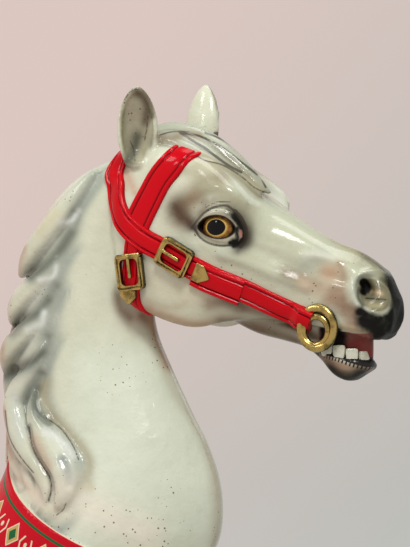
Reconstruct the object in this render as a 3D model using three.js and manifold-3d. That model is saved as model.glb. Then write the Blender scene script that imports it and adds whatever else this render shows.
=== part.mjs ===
// Carousel horse bust: the head and neck of a moulded, gloss-painted fairground horse, cut flat
// across the shoulders. Head, neck, mane, bridle, bit ring and trapping are one moulding. The two
// glass eyes are separate domes, set in sockets behind the moulded lids.
//
// Millimetres. +X is where the horse looks, +Z is up, and the bust is upright on the plane Z = 0.
// The horse's right side is -Y. Halves are drawn on the +Y side and mirrored across Y = 0.

import * as THREE from "three";
import { mergeVertices } from "three/addons/utils/BufferGeometryUtils.js";
import Module from "manifold-3d";

// ---------------------------------------------------------------- driving dimensions

const STRAP_WIDTH = 33;
const STRAP_RELIEF = 5.5;
const STRAP_ROOT = 7;

const RING_RADIUS = 26;
const RING_WIRE = 7.5;

const BUCKLE = { length: 51, width: 43, bar: 7, proud: 10 };

const EYE_RADIUS = 32;
const EYE_CENTRE = [258, 50, 466.5];
const EYE_GAP = 0.35;

// Lids round the left eye, and the raised rim round the left nostril: closed ropes through points.
const LIDS = {
  path: [[221, 80, 464], [237, 82, 482], [261, 82, 489], [284, 78, 480], [301, 70, 457],
    [284, 74, 446], [262, 80, 442], [239, 82, 448]],
  radius: 6.5,
  lift: 0,
};
const NOSTRIL_RIM = {
  path: [[447, 46, 386], [456, 45, 401], [473, 40, 404], [490, 34, 390], [495, 28, 366],
    [485, 35, 350], [468, 42, 352], [453, 46, 366]],
  radius: 6,
  lift: -1,
};

const TRAPPING_RELIEF = 4;

// Facets: rings along a form and points round it.
const HEAD_MESH = { along: 19, round: 18 };
const NECK_MESH = { along: 12, round: 18 };
const JAW_MESH = { along: 7, round: 10 };

// Feature lines of the skull and upper jaw, back to front, each point [x, y, z].
const HEAD_LINES = {
  crown: [
    [78, 0, 560], [112, 0, 584], [158, 0, 592], [203, 0, 582], [248, 0, 552], [292, 0, 514],
    [345, 0, 480], [400, 0, 449], [447, 0, 431], [482, 0, 405], [500, 0, 368],
  ],
  brow: [
    [80, 22, 550], [110, 37, 573], [156, 52, 577], [212, 66, 560], [285, 78, 515], [314, 48, 482],
    [352, 36, 462], [404, 32, 435], [449, 33, 411], [481, 30, 386], [498, 18, 362],
  ],
  temple: [
    [80, 40, 510], [102, 58, 520], [150, 68, 514], [206, 76, 502], [260, 78, 474], [310, 62, 440],
    [358, 48, 412], [408, 42, 394], [454, 44, 376], [483, 36, 362], [499, 19, 351],
  ],
  cheek: [
    [84, 48, 450], [98, 62, 440], [142, 70, 424], [200, 71, 412], [256, 68, 402], [310, 57, 388],
    [360, 46, 370], [408, 42, 353], [451, 42, 346], [481, 34, 340], [498, 18, 340],
  ],
  jaw: [
    [92, 42, 400], [104, 54, 376], [146, 53, 348], [206, 48, 330], [254, 42, 338], [304, 38, 342],
    [352, 36, 338], [402, 36, 330], [446, 33, 321], [476, 24, 315], [493, 12, 326],
  ],
  gullet: [
    [96, 0, 396], [112, 0, 366], [150, 0, 356], [206, 0, 350], [256, 0, 350], [306, 0, 348],
    [354, 0, 342], [402, 0, 336], [444, 0, 326], [473, 0, 313], [490, 0, 322],
  ],
};

// The neck by level: height, back (under the mane), front, and half width. It starts below the
// cut across the shoulders.
const NECK_LEVELS = [
  [-16, -179, 196, 119], [0, -176, 204, 120], [40, -160, 221, 120], [80, -130, 225, 113],
  [120, -103, 220, 103], [165, -91, 204, 93], [215, -90, 177, 84], [270, -89, 149, 75],
  [326, -84, 125, 68], [390, -70, 118, 62], [450, -42, 118, 57], [505, 2, 119, 50],
  [545, 46, 118, 40], [575, 84, 112, 22],
];

// Where a neck section's points lie: share of its depth from the back, share of its half width.
const NECK_SECTION = [
  [0, 0], [0.05, 0.4], [0.2, 0.79], [0.43, 0.98], [0.67, 0.95], [0.89, 0.6], [1, 0],
];

// The lower jaw by station: x, top, underside and half width.
const JAW_STATIONS = [
  [240, 356, 344, 26], [290, 346, 321, 30], [330, 338, 311, 29], [365, 327, 301, 28],
  [388, 311, 284, 28], [408, 299, 263, 30], [428, 290, 256, 28], [448, 283, 266, 22],
  [462, 280, 272, 11],
];

// What closes the open mouth behind the lips, in the same terms.
const MOUTH_STATIONS = [
  [366, 345, 300, 20], [400, 340, 285, 24], [430, 332, 278, 20], [450, 324, 276, 14],
  [461, 314, 280, 6],
];

// Lower teeth on the right half: centre [x, y, z], turned out from the nose by this many degrees.
const TEETH = [
  { at: [402, 26.5, 302], turn: 86 }, { at: [420, 25.5, 298], turn: 82 },
  { at: [437, 20.5, 294], turn: 64 }, { at: [451, 9.5, 290], turn: 26 },
];
const TOOTH = { width: 19, thick: 8, height: 20 };

const EARS = [
  { base: [126, -54, 552], tip: [132, -71, 664], turn: -64 },
  { base: [166, 54, 552], tip: [171, 68, 668], turn: 64 },
];
const EAR_OUTLINE = [
  [0, 17, 14], [0.15, 23, 17], [0.35, 28, 19], [0.55, 28, 17], [0.75, 23, 13], [0.9, 14.5, 8.5],
  [1, 4, 3.5],
];

// Locks of the mane on the right side: the line each follows from its root, its fullest half
// width, and how far along it is fullest.
const RIGHT_LOCKS = [
  {
    path: [[66, -6, 560], [24, -14, 532], [-10, -12, 500], [-44, -4, 462], [-72, 0, 432]],
    half: 17,
    full: 0.6,
  },
  {
    path: [[48, -32, 546], [18, -38, 508], [-16, -36, 468], [-54, -22, 430], [-84, -2, 400]],
    half: 22,
    full: 0.64,
  },
  {
    path: [[14, -43, 446], [-14, -44, 412], [-48, -34, 382], [-80, -16, 356], [-96, 2, 330]],
    half: 22,
    full: 0.62,
  },
  {
    path: [[2, -48, 388], [-26, -48, 346], [-62, -38, 316], [-92, -18, 290], [-106, 2, 262]],
    half: 22,
    full: 0.6,
  },
  {
    path: [[-6, -58, 322], [-30, -64, 276], [-66, -54, 249], [-79, -48, 222], [-67, -60, 191],
      [-36, -80, 160], [-8, -92, 137], [11, -101, 105], [12, -106, 82]],
    half: 19,
    full: 0.55,
  },
  {
    path: [[-30, -64, 240], [-24, -72, 212], [-8, -82, 184], [17, -92, 156], [39, -102, 129],
      [43, -108, 103], [31, -112, 76]],
    half: 26,
    full: 0.6,
  },
];

// The left side's mane is plainer: the same fall of hair in fewer, broader locks.
const LEFT_LOCKS = [
  {
    path: [[50, 32, 545], [18, 40, 504], [-16, 38, 460], [-50, 24, 422], [-78, 4, 396]],
    half: 23,
    full: 0.6,
  },
  {
    path: [[8, 44, 436], [-20, 46, 394], [-56, 36, 356], [-88, 18, 326], [-102, 0, 300]],
    half: 24,
    full: 0.6,
  },
  {
    path: [[-4, 49, 362], [-32, 53, 318], [-62, 46, 280], [-92, 26, 254], [-106, 4, 232]],
    half: 23,
    full: 0.6,
  },
  {
    path: [[-8, 58, 300], [-40, 66, 250], [-60, 70, 200], [-50, 82, 152], [-20, 98, 112],
      [8, 112, 70]],
    half: 22,
    full: 0.45,
  },
  {
    path: [[-36, 66, 236], [-8, 80, 196], [24, 92, 160], [42, 104, 122], [30, 113, 84]],
    half: 18,
    full: 0.5,
  },
];

// The back of the mane, where the two falls meet below the last of the turned locks.
const CREST_LOCKS = [
  {
    path: [[-74, 0, 320], [-92, -6, 276], [-94, 6, 232], [-90, -4, 186], [-104, 0, 132]],
    half: 22,
    full: 0.5,
  },
];

const FORELOCK = [
  {
    path: [[92, 6, 588], [148, 12, 599], [200, 18, 586], [244, 26, 556], [278, 30, 526]],
    half: 16,
    full: 0.45,
  },
  {
    path: [[92, -4, 590], [148, -6, 603], [204, -8, 591], [252, -8, 562], [306, -6, 514]],
    half: 16,
    full: 0.45,
  },
  {
    path: [[112, -20, 582], [158, -24, 592], [202, -28, 580], [246, -26, 552], [296, -14, 514]],
    half: 14,
    full: 0.45,
  },
];

// Bridle straps on the right side: the line each follows over the head, and its width. The crown
// piece and the brow band cross the midline, and the rest of each is the mirror image.
const STRAPS = {
  crown: {
    width: STRAP_WIDTH,
    path: [[92, 0, 590], [88, -34, 576], [84, -54, 546], [90, -62, 508], [112, -66, 474],
      [143, -71, 451], [172, -74, 437], [205, -74, 419], [230, -73, 405]],
  },
  cheek: {
    width: STRAP_WIDTH,
    path: [[214, -73, 414], [251, -69, 396], [287, -62, 381], [322, -54, 364], [357, -48, 347],
      [382, -45, 335]],
  },
  throat: {
    width: STRAP_WIDTH - 3,
    path: [[130, -68, 456], [125, -70, 428], [123, -70, 400], [123, -68, 376], [126, -58, 350],
      [134, -40, 344], [140, 0, 352]],
  },
  brow: {
    width: STRAP_WIDTH + 1,
    path: [[128, -68, 462], [138, -70, 490], [156, -68, 524], [176, -57, 556], [198, -40, 576],
      [210, 0, 584]],
  },
};

const BUCKLES = [
  { at: [195, -74, 427], along: [0.86, 0, -0.5] },
  { at: [124, -70, 406], along: [0.1, 0, -1] },
];
const STRAP_TIPS = [
  { at: [228, -72, 406], along: [0.88, 0, -0.48], length: 24 },
  { at: [123, -68, 371], along: [0.04, 0, -1], length: 22 },
];
const BIT_RING = [397, -45, 329];

// The trapping's front edge, seen from the side: points [x, z] on the right.
const TRAPPING_EDGE = [
  [-96, 156], [-82, 135], [-66, 117], [-43, 96], [-19, 78], [9, 60], [40, 43], [67, 30], [104, 14],
  [150, -6],
];

const NOSTRIL = { at: [475, 43, 377], radii: [17, 13, 21] };

// ---------------------------------------------------------------- solids

const wasm = await Module();
wasm.setup();

// A closed geometry as a manifold solid.
function solid(geometry) {
  const bare = new THREE.BufferGeometry();
  const flat = geometry.index ? geometry.toNonIndexed() : geometry;
  bare.setAttribute("position", flat.getAttribute("position"));
  const merged = mergeVertices(bare, 1e-3);
  return new wasm.Manifold(
    new wasm.Mesh({
      numProp: 3,
      vertProperties: new Float32Array(merged.getAttribute("position").array),
      triVerts: new Uint32Array(merged.index.array),
    }),
  );
}

// A manifold solid as a geometry for a mesh.
function geometryOf(manifold) {
  const mesh = manifold.getMesh();
  const positions = new Float32Array(mesh.numVert * 3);
  for (let i = 0; i < mesh.numVert; i++)
    positions.set(mesh.vertProperties.subarray(i * mesh.numProp, i * mesh.numProp + 3), i * 3);
  const geometry = new THREE.BufferGeometry();
  geometry.setAttribute("position", new THREE.BufferAttribute(positions, 3));
  geometry.setIndex(new THREE.BufferAttribute(new Uint32Array(mesh.triVerts), 1));
  geometry.computeVertexNormals();
  return geometry;
}

const vector = (p) => new THREE.Vector3(p[0], p[1], p[2]);
const mirrorPoint = (p) => [p[0], -p[1], p[2]];

// A smooth open line through points, sampled at count places.
function sampleLine(points, count) {
  const curve = new THREE.CatmullRomCurve3(points.map(vector), false, "centripetal");
  return Array.from({ length: count }, (_, i) => curve.getPoint(i / (count - 1)));
}

// Points round an ellipse drawn on two directions.
function sampleCircle(centre, across, out, half, deep, count) {
  return Array.from({ length: count }, (_, j) => {
    const angle = (j / count) * Math.PI * 2;
    return centre
      .clone()
      .addScaledVector(across, half * Math.cos(angle))
      .addScaledVector(out, deep * Math.sin(angle));
  });
}

// A smooth closed line through points, sampled at count places by its own parameter.
function sampleLoop(points, count) {
  const curve = new THREE.CatmullRomCurve3(points, true, "centripetal");
  return Array.from({ length: count }, (_, i) => curve.getPoint(i / count));
}

// Six times the volume inside a list of triangles, negative when they face inward.
function signedVolume(points) {
  let sum = 0;
  for (let i = 0; i < points.length; i += 3)
    sum += points[i].dot(new THREE.Vector3().crossVectors(points[i + 1], points[i + 2]));
  return sum;
}

// The same triangles, each wound the other way.
function reversed(points) {
  return points.map((_, i) => points[i - (i % 3) + 2 - (i % 3)]);
}

// A closed solid through rings of equal length: a fan closes each end, or the last ring joins the
// first.
function skinRings(rings, closed = false) {
  const round = rings[0].length;
  const centre = (ring) =>
    ring.reduce((sum, p) => sum.add(p), new THREE.Vector3()).multiplyScalar(1 / round);
  const triangles = [];
  const triangle = (a, b, c) => triangles.push(a, b, c);
  for (let i = 0; i < rings.length - (closed ? 0 : 1); i++)
    for (let j = 0; j < round; j++) {
      const here = rings[i];
      const ahead = rings[(i + 1) % rings.length];
      const next = (j + 1) % round;
      triangle(here[j], ahead[j], ahead[next]);
      triangle(here[j], ahead[next], here[next]);
    }
  const first = centre(rings[0]);
  const last = centre(rings.at(-1));
  for (let j = 0; j < round && !closed; j++) {
    const next = (j + 1) % round;
    triangle(first, rings[0][j], rings[0][next]);
    triangle(last, rings.at(-1)[next], rings.at(-1)[j]);
  }
  const inward = signedVolume(triangles) < 0;
  const wound = inward ? reversed(triangles) : triangles;
  return solid(new THREE.BufferGeometry().setFromPoints(wound));
}

// A solid's mirror image across Y = 0.
function mirrored(manifold) {
  const geometry = geometryOf(manifold).toNonIndexed();
  const position = geometry.getAttribute("position");
  const points = [];
  for (let i = 0; i < position.count; i++)
    points.push(new THREE.Vector3(position.getX(i), -position.getY(i), position.getZ(i)));
  return solid(new THREE.BufferGeometry().setFromPoints(reversed(points)));
}

// ---------------------------------------------------------------- head, neck and jaw

// A form whose half sections run through feature lines, from the top midline to the bottom one.
function loftLines(lines, mesh) {
  const sampled = lines.map((line) => sampleLine(line, mesh.along));
  const rings = [];
  for (let i = 0; i < mesh.along; i++) {
    const half = sampled.map((line) => line[i]);
    const other = half.slice(1, -1).reverse().map((p) => new THREE.Vector3(p.x, -p.y, p.z));
    rings.push(sampleLoop([...half, ...other], mesh.round));
  }
  return skinRings(rings);
}

function makeHead() {
  return loftLines(Object.values(HEAD_LINES), HEAD_MESH);
}

function makeNeck(grow = 0) {
  const lines = NECK_SECTION.map(([depth, width]) =>
    NECK_LEVELS.map(([z, back, front, half]) => [
      back - grow + depth * (front - back + 2 * grow),
      width * (half + grow),
      z,
    ]),
  );
  return loftLines(lines, NECK_MESH);
}

// A solid with rounded sections, told by station: x, top, underside and half width.
function loftStations(stations) {
  const lines = [
    stations.map(([x, top]) => [x, 0, top]),
    stations.map(([x, top, under, half]) => [x, half * 0.8, top - 0.06 * (top - under)]),
    stations.map(([x, top, under, half]) => [x, half, (top * 2 + under) / 3]),
    stations.map(([x, top, under, half]) => [x, half * 0.66, under + 0.1 * (top - under)]),
    stations.map(([x, top, under]) => [x, 0, under]),
  ];
  return loftLines(lines, JAW_MESH);
}

function makeEgg({ at, radii }, side) {
  const egg = new THREE.SphereGeometry(1, 10, 6);
  egg.scale(...radii);
  egg.translate(at[0], side * at[1], at[2]);
  return solid(egg);
}

// A closed rope through points, laid along the skin.
function makeRim(skin, { path, radius, lift }, side, count) {
  const points = path.map(([x, y, z]) => {
    const { spot, out } = skin.nearest(new THREE.Vector3(x, side * y, z));
    return spot.addScaledVector(out, lift);
  });
  const curve = new THREE.CatmullRomCurve3(points, true, "centripetal");
  const middle = points.reduce((sum, p) => sum.add(p), new THREE.Vector3());
  middle.divideScalar(points.length);
  const rings = Array.from({ length: count }, (_, i) => {
    const centre = curve.getPoint(i / count);
    const ahead = curve.getTangent(i / count);
    const away = centre.clone().sub(middle);
    away.addScaledVector(ahead, -away.dot(ahead)).normalize();
    const out = new THREE.Vector3().crossVectors(ahead, away);
    return sampleCircle(centre, away, out, radius, radius, 5);
  });
  return skinRings(rings, true);
}

function makeTeeth() {
  return TEETH.flatMap(({ at, turn }) => {
    const tooth = new THREE.BoxGeometry(TOOTH.thick, TOOTH.width, TOOTH.height);
    tooth.rotateZ(THREE.MathUtils.degToRad(turn));
    tooth.translate(...at);
    const made = solid(tooth);
    return [made, mirrored(made)];
  });
}

// ---------------------------------------------------------------- ears

// The leaf of an ear about its own axis, grown or shrunk, and moved towards its open side.
function earLeaf(ear, grow, shift) {
  const base = vector(ear.base);
  const axis = vector(ear.tip).sub(base);
  const turn = THREE.MathUtils.degToRad(ear.turn);
  const open = new THREE.Vector3(Math.cos(turn), Math.sin(turn), 0);
  const up = axis.clone().normalize();
  open.addScaledVector(up, -open.dot(up)).normalize();
  const side = new THREE.Vector3().crossVectors(up, open);
  const rings = EAR_OUTLINE.map(([t, wide, thick]) => {
    const centre = base.clone().addScaledVector(axis, t).addScaledVector(open, shift);
    const half = Math.max(wide + grow, 0.8);
    const deep = Math.max(thick + grow * 0.6, 0.8);
    return sampleCircle(centre, side, open, half, deep, 8);
  });
  return skinRings(rings);
}

function makeEar(ear) {
  const inner = { ...ear, base: vector(ear.base).lerp(vector(ear.tip), 0.05).toArray() };
  return earLeaf(ear, 0, 0).subtract(earLeaf(inner, -5.5, 13));
}

// ---------------------------------------------------------------- hair

// A lock of hair: a flattened rope that swells from its root and tucks in at its end.
function makeLock({ path, half, full }, facing, round) {
  const along = path.length > 5 ? 9 : 6;
  const line = new THREE.CatmullRomCurve3(path.map(vector), false, "centripetal");
  const rings = Array.from({ length: along }, (_, i) => {
    const t = i / (along - 1);
    const phase = t < full ? (0.5 * t) / full : 0.5 + (0.5 * (t - full)) / (1 - full);
    const width = half * (0.2 + 0.8 * Math.pow(Math.sin(Math.PI * phase), 0.7));
    const centre = line.getPoint(t);
    const ahead = line.getTangent(t);
    const out = facing(centre);
    out.addScaledVector(ahead, -out.dot(ahead)).normalize();
    const across = new THREE.Vector3().crossVectors(ahead, out);
    return sampleCircle(centre, across, out, width, width * 0.8, round);
  });
  return skinRings(rings);
}

// Out from the neck's own core line, which leans forward as it rises.
function outFromNeck(p) {
  return new THREE.Vector3(p.x - (0.16 * p.z - 10), p.y, 0).normalize();
}

// Up and out from the middle of the skull.
function outFromSkull(p) {
  return new THREE.Vector3(0.35, p.y / 60, 1).normalize();
}

function makeHair() {
  return [
    ...RIGHT_LOCKS.map((lock) => makeLock(lock, outFromNeck, 7)),
    ...[...LEFT_LOCKS, ...CREST_LOCKS].map((lock) => makeLock(lock, outFromNeck, 5)),
    ...FORELOCK.map((lock) => makeLock(lock, outFromSkull, 6)),
  ];
}

// ---------------------------------------------------------------- bridle

// Finds the nearest place on a skin, and the skin's direction out there.
class Skin {
  constructor(manifold) {
    const geometry = geometryOf(manifold);
    const position = geometry.getAttribute("position");
    const normal = geometry.getAttribute("normal");
    const read = (attribute, i) => new THREE.Vector3().fromBufferAttribute(attribute, i);
    this.triangles = [];
    for (let i = 0; i < geometry.index.count; i += 3) {
      const corners = [0, 1, 2].map((k) => geometry.index.getX(i + k));
      const points = corners.map((c) => read(position, c));
      this.triangles.push({
        shape: new THREE.Triangle(...points),
        normals: corners.map((c) => read(normal, c)),
        ball: new THREE.Sphere().setFromPoints(points),
      });
    }
  }

  nearest(point) {
    let best = Infinity;
    let found = null;
    const place = new THREE.Vector3();
    const spot = new THREE.Vector3();
    for (const triangle of this.triangles) {
      if (triangle.ball.distanceToPoint(point) > best) continue;
      triangle.shape.closestPointToPoint(point, place);
      const distance = place.distanceTo(point);
      if (distance >= best) continue;
      best = distance;
      found = triangle;
      spot.copy(place);
    }
    const weights = found.shape.getBarycoord(spot, new THREE.Vector3());
    const out = new THREE.Vector3()
      .addScaledVector(found.normals[0], weights.x)
      .addScaledVector(found.normals[1], weights.y)
      .addScaledVector(found.normals[2], weights.z)
      .normalize();
    return { spot, out };
  }
}

// A strap laid on the skin: each cross-section has its two edges and its middle on the surface.
function makeStrap(skin, { path, width }, steps, whole) {
  const points = whole ? [...path, ...path.slice(0, -1).reverse().map(mirrorPoint)] : path;
  const line = new THREE.CatmullRomCurve3(points.map(vector), false, "centripetal");
  const rings = [];
  for (let i = 0; i <= steps; i++) {
    const t = i / steps;
    const middle = skin.nearest(line.getPoint(t));
    const across = new THREE.Vector3().crossVectors(line.getTangent(t), middle.out).normalize();
    const spots = [-0.5, 0, 0.5].map((share) => {
      const place = middle.spot.clone().addScaledVector(across, share * width);
      const lies = skin.nearest(place);
      lies.spot.addScaledVector(middle.out, middle.out.dot(place.sub(lies.spot)) * 0.4);
      return lies;
    });
    const raise = ({ spot, out }, height) => {
      const blended = out.clone().lerp(middle.out, 0.6).normalize();
      return spot.clone().addScaledVector(blended, height);
    };
    rings.push([
      raise(spots[0], -STRAP_ROOT),
      raise(spots[0], STRAP_RELIEF),
      raise(spots[1], STRAP_RELIEF),
      raise(spots[2], STRAP_RELIEF),
      raise(spots[2], -STRAP_ROOT),
      raise(spots[1], -STRAP_ROOT * 1.3),
    ]);
  }
  return skinRings(rings);
}

// Places a flat form on the skin, its X along a direction and its Z out from the skin.
function setOnSkin(geometry, skin, at, along, lift) {
  const { spot, out } = skin.nearest(vector(at));
  const ahead = vector(along).addScaledVector(out, -vector(along).dot(out)).normalize();
  const across = new THREE.Vector3().crossVectors(out, ahead);
  geometry.applyMatrix4(new THREE.Matrix4().makeBasis(ahead, across, out));
  spot.addScaledVector(out, lift);
  geometry.translate(spot.x, spot.y, spot.z);
  return solid(geometry);
}

function roundedFrame(length, width, corner, hole) {
  const outline = new THREE.Shape();
  const draw = (path, l, w, r) => {
    path.moveTo(-l + r, -w);
    path.lineTo(l - r, -w);
    path.absarc(l - r, -w + r, r, -Math.PI / 2, 0);
    path.absarc(l - r, w - r, r, 0, Math.PI / 2);
    path.absarc(-l + r, w - r, r, Math.PI / 2, Math.PI);
    path.absarc(-l + r, -w + r, r, Math.PI, Math.PI * 1.5);
  };
  draw(outline, length / 2, width / 2, corner);
  if (hole) {
    const inside = new THREE.Path();
    draw(inside, length / 2 - hole, width / 2 - hole, Math.max(corner - hole, 2));
    outline.holes.push(inside);
  }
  return outline;
}

function makeBuckle(skin, { at, along }) {
  const { length, width, bar, proud } = BUCKLE;
  const shape = roundedFrame(length, width, 9, bar);
  const frame = new THREE.ExtrudeGeometry(shape, {
    depth: proud + 8,
    bevelEnabled: false,
    curveSegments: 1,
  });
  const prong = new THREE.BoxGeometry(length * 0.62, bar * 0.8, proud + 8);
  prong.translate(-length * 0.16, 0, (proud + 8) / 2);
  const rim = setOnSkin(frame, skin, at, along, -8);
  return rim.add(setOnSkin(prong, skin, at, along, -8.6));
}

// The pointed metal tip of a strap's end.
function makeStrapTip(skin, { at, along, length }) {
  const half = STRAP_WIDTH * 0.44;
  const outline = new THREE.Shape();
  outline.moveTo(-length * 0.45, -half);
  outline.lineTo(length * 0.05, -half);
  outline.lineTo(length * 0.6, 0);
  outline.lineTo(length * 0.05, half);
  outline.lineTo(-length * 0.45, half);
  const tip = new THREE.ExtrudeGeometry(outline, { depth: 15, bevelEnabled: false });
  return setOnSkin(tip, skin, at, along, -7.5);
}

function makeRing() {
  const ring = new THREE.TorusGeometry(RING_RADIUS, RING_WIRE, 5, 14);
  ring.rotateX(Math.PI / 2);
  ring.translate(...BIT_RING);
  return solid(ring);
}

function makeBridle(skin) {
  const right = [
    makeStrap(skin, STRAPS.cheek, 6, false),
    ...BUCKLES.map((buckle) => makeBuckle(skin, buckle)),
    ...STRAP_TIPS.map((tip) => makeStrapTip(skin, tip)),
    makeRing(),
  ];
  const acrossBack = { ...STRAPS.crown, path: [...STRAPS.crown.path].reverse() };
  return [
    makeStrap(skin, acrossBack, 18, true),
    makeStrap(skin, STRAPS.throat, 14, true),
    makeStrap(skin, STRAPS.brow, 12, true),
    ...right,
    ...right.map(mirrored),
  ];
}

// ---------------------------------------------------------------- trapping

// The painted saddle trapping: the neck's own form, raised behind a curved front edge.
function makeTrapping() {
  const edge = new THREE.SplineCurve(TRAPPING_EDGE.map(([x, z]) => new THREE.Vector2(x, z)));
  const outline = new THREE.Shape(edge.getPoints(10));
  outline.lineTo(150, -60);
  outline.lineTo(-260, -60);
  outline.lineTo(-260, 156);
  const region = new THREE.ExtrudeGeometry(outline, { depth: 400, bevelEnabled: false });
  region.rotateX(Math.PI / 2);
  region.translate(0, 200, 0);
  return makeNeck(TRAPPING_RELIEF).intersect(solid(region));
}

// ---------------------------------------------------------------- eyes

function eyeball(side, grow) {
  const ball = new THREE.SphereGeometry(EYE_RADIUS + grow, 12, 8);
  ball.rotateX(Math.PI / 2);
  ball.translate(EYE_CENTRE[0], side * EYE_CENTRE[1], EYE_CENTRE[2]);
  return solid(ball);
}

// ---------------------------------------------------------------- the part

// The outermost of a solid's surfaces, without the pockets that crossing forms close off.
function outerShell(manifold) {
  const mesh = manifold.getMesh();
  const home = Array.from({ length: mesh.numVert }, (_, i) => i);
  const find = (i) => {
    while (home[i] !== i) i = home[i] = home[home[i]];
    return i;
  };
  const corners = Array.from(mesh.triVerts);
  for (let i = 0; i < corners.length; i += 3) {
    home[find(corners[i])] = find(corners[i + 1]);
    home[find(corners[i + 1])] = find(corners[i + 2]);
  }
  const sizes = new Map();
  for (const corner of corners) sizes.set(find(corner), (sizes.get(find(corner)) ?? 0) + 1);
  const [largest] = [...sizes].reduce((best, entry) => (entry[1] > best[1] ? entry : best));
  const kept = corners.filter((corner) => find(corner) === largest);
  const point = (corner) =>
    new THREE.Vector3().fromArray(mesh.vertProperties, corner * mesh.numProp);
  return solid(new THREE.BufferGeometry().setFromPoints(kept.map(point)));
}

function makeBust() {
  const sides = [1, -1];
  const join = (pieces) => pieces.reduce((sum, piece) => sum.add(piece));
  const jaw = [loftStations(JAW_STATIONS), loftStations(MOUTH_STATIONS)];
  const form = join([makeHead(), ...jaw, makeNeck()]);
  const skin = new Skin(form);
  const laid = [
    ...makeTeeth(),
    ...EARS.map(makeEar),
    ...makeHair(),
    makeTrapping(),
    ...sides.map((side) => makeRim(skin, LIDS, side, 12)),
    ...sides.map((side) => makeRim(skin, NOSTRIL_RIM, side, 10)),
    ...makeBridle(skin),
  ];
  const below = new THREE.BoxGeometry(600, 400, 100);
  below.translate(0, 0, -50);
  const cuts = sides.flatMap((side) => [makeEgg(NOSTRIL, side), eyeball(side, EYE_GAP)]);
  cuts.push(solid(below));
  return outerShell(cuts.reduce((sum, cut) => sum.subtract(cut), join([form, ...laid])));
}

function paint(name, manifold, color, roughness, metalness) {
  const material = new THREE.MeshStandardMaterial({ color, roughness, metalness });
  const mesh = new THREE.Mesh(geometryOf(manifold), material);
  mesh.name = name;
  return mesh;
}

const horse = new THREE.Group();
horse.add(
  paint("horse_bust", makeBust(), 0xdcd8c6, 0.22, 0),
  paint("right_eye", eyeball(-1, 0), 0x6b4a1c, 0.05, 0),
  paint("left_eye", eyeball(1, 0), 0x6b4a1c, 0.05, 0),
);

export default horse;
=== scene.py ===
"""Dresses the carousel horse bust: the moulded head and neck, its bridle, teeth and glass eyes.

Sizes are held in millimetres and turned into metres when a mesh is made. +X is where the horse
looks, +Z is up and the horse's right side is -Y.
"""

import logging
import math
from collections.abc import Callable, Iterator, Sequence
from contextlib import contextmanager
from dataclasses import dataclass
from enum import Enum
from functools import cache
from itertools import product

import bmesh
import bpy
import numpy as np
from bpy.types import Material, Node, NodeSocket as Socket, NodeTree, Object
from mathutils import Matrix, Vector
from mathutils.bvhtree import BVHTree


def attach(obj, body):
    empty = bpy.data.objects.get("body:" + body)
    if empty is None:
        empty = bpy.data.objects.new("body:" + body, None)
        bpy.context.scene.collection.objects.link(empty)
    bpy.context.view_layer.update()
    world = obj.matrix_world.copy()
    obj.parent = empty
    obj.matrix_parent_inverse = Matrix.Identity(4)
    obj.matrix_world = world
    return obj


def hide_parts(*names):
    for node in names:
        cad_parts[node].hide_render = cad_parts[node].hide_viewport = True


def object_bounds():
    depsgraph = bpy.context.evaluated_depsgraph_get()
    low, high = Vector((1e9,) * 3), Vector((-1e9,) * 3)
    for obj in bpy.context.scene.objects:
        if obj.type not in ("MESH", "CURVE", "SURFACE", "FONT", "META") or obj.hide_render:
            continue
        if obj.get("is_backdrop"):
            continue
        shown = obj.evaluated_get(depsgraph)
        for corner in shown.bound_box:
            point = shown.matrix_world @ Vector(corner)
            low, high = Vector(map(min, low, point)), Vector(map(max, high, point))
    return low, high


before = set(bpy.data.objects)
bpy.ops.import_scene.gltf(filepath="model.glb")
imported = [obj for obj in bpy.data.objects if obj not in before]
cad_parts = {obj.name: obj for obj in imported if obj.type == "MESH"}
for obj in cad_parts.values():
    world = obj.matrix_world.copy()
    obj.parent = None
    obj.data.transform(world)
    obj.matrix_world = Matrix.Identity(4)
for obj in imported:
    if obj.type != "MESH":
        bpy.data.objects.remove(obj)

log = logging.getLogger("carousel_horse")

MM = 0.001
BOX = ((-179.4, -123.9, 0.01), (499.9, 123.9, 668.4))
# The painter's view from the front quarter: how far its line across turns from X.
VIEW_COS, VIEW_SIN = 0.8988, 0.4384
FAR = 60.0  # the distance stored where a vertex is too far from a line to be measured
NEARBY = 40  # how far round a line its distance is measured

Array = np.ndarray
Point = tuple[float, float, float]
Colour = tuple[float, float, float]
Line = Sequence[Point]
Flat = Sequence[tuple[float, float]]
Wash = tuple[Flat, float, Colour, float]


class Side(Enum):
    """The two sides of the horse, by the sign of Y."""

    RIGHT = -1
    LEFT = 1

    def label(self, name: str) -> str:
        """A piece's name with the side's after it."""
        return f"{name}_{self.name.lower()}"


class Slot(Enum):
    """The record's material slots."""

    CREAM = "cream_enamel"
    RED = "red_enamel"
    GOLD = "gold_enamel"
    TOOTH = "tooth_enamel"
    EYE = "eye_glass"


# ---------------------------------------------------------------- curves and brushes


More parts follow.
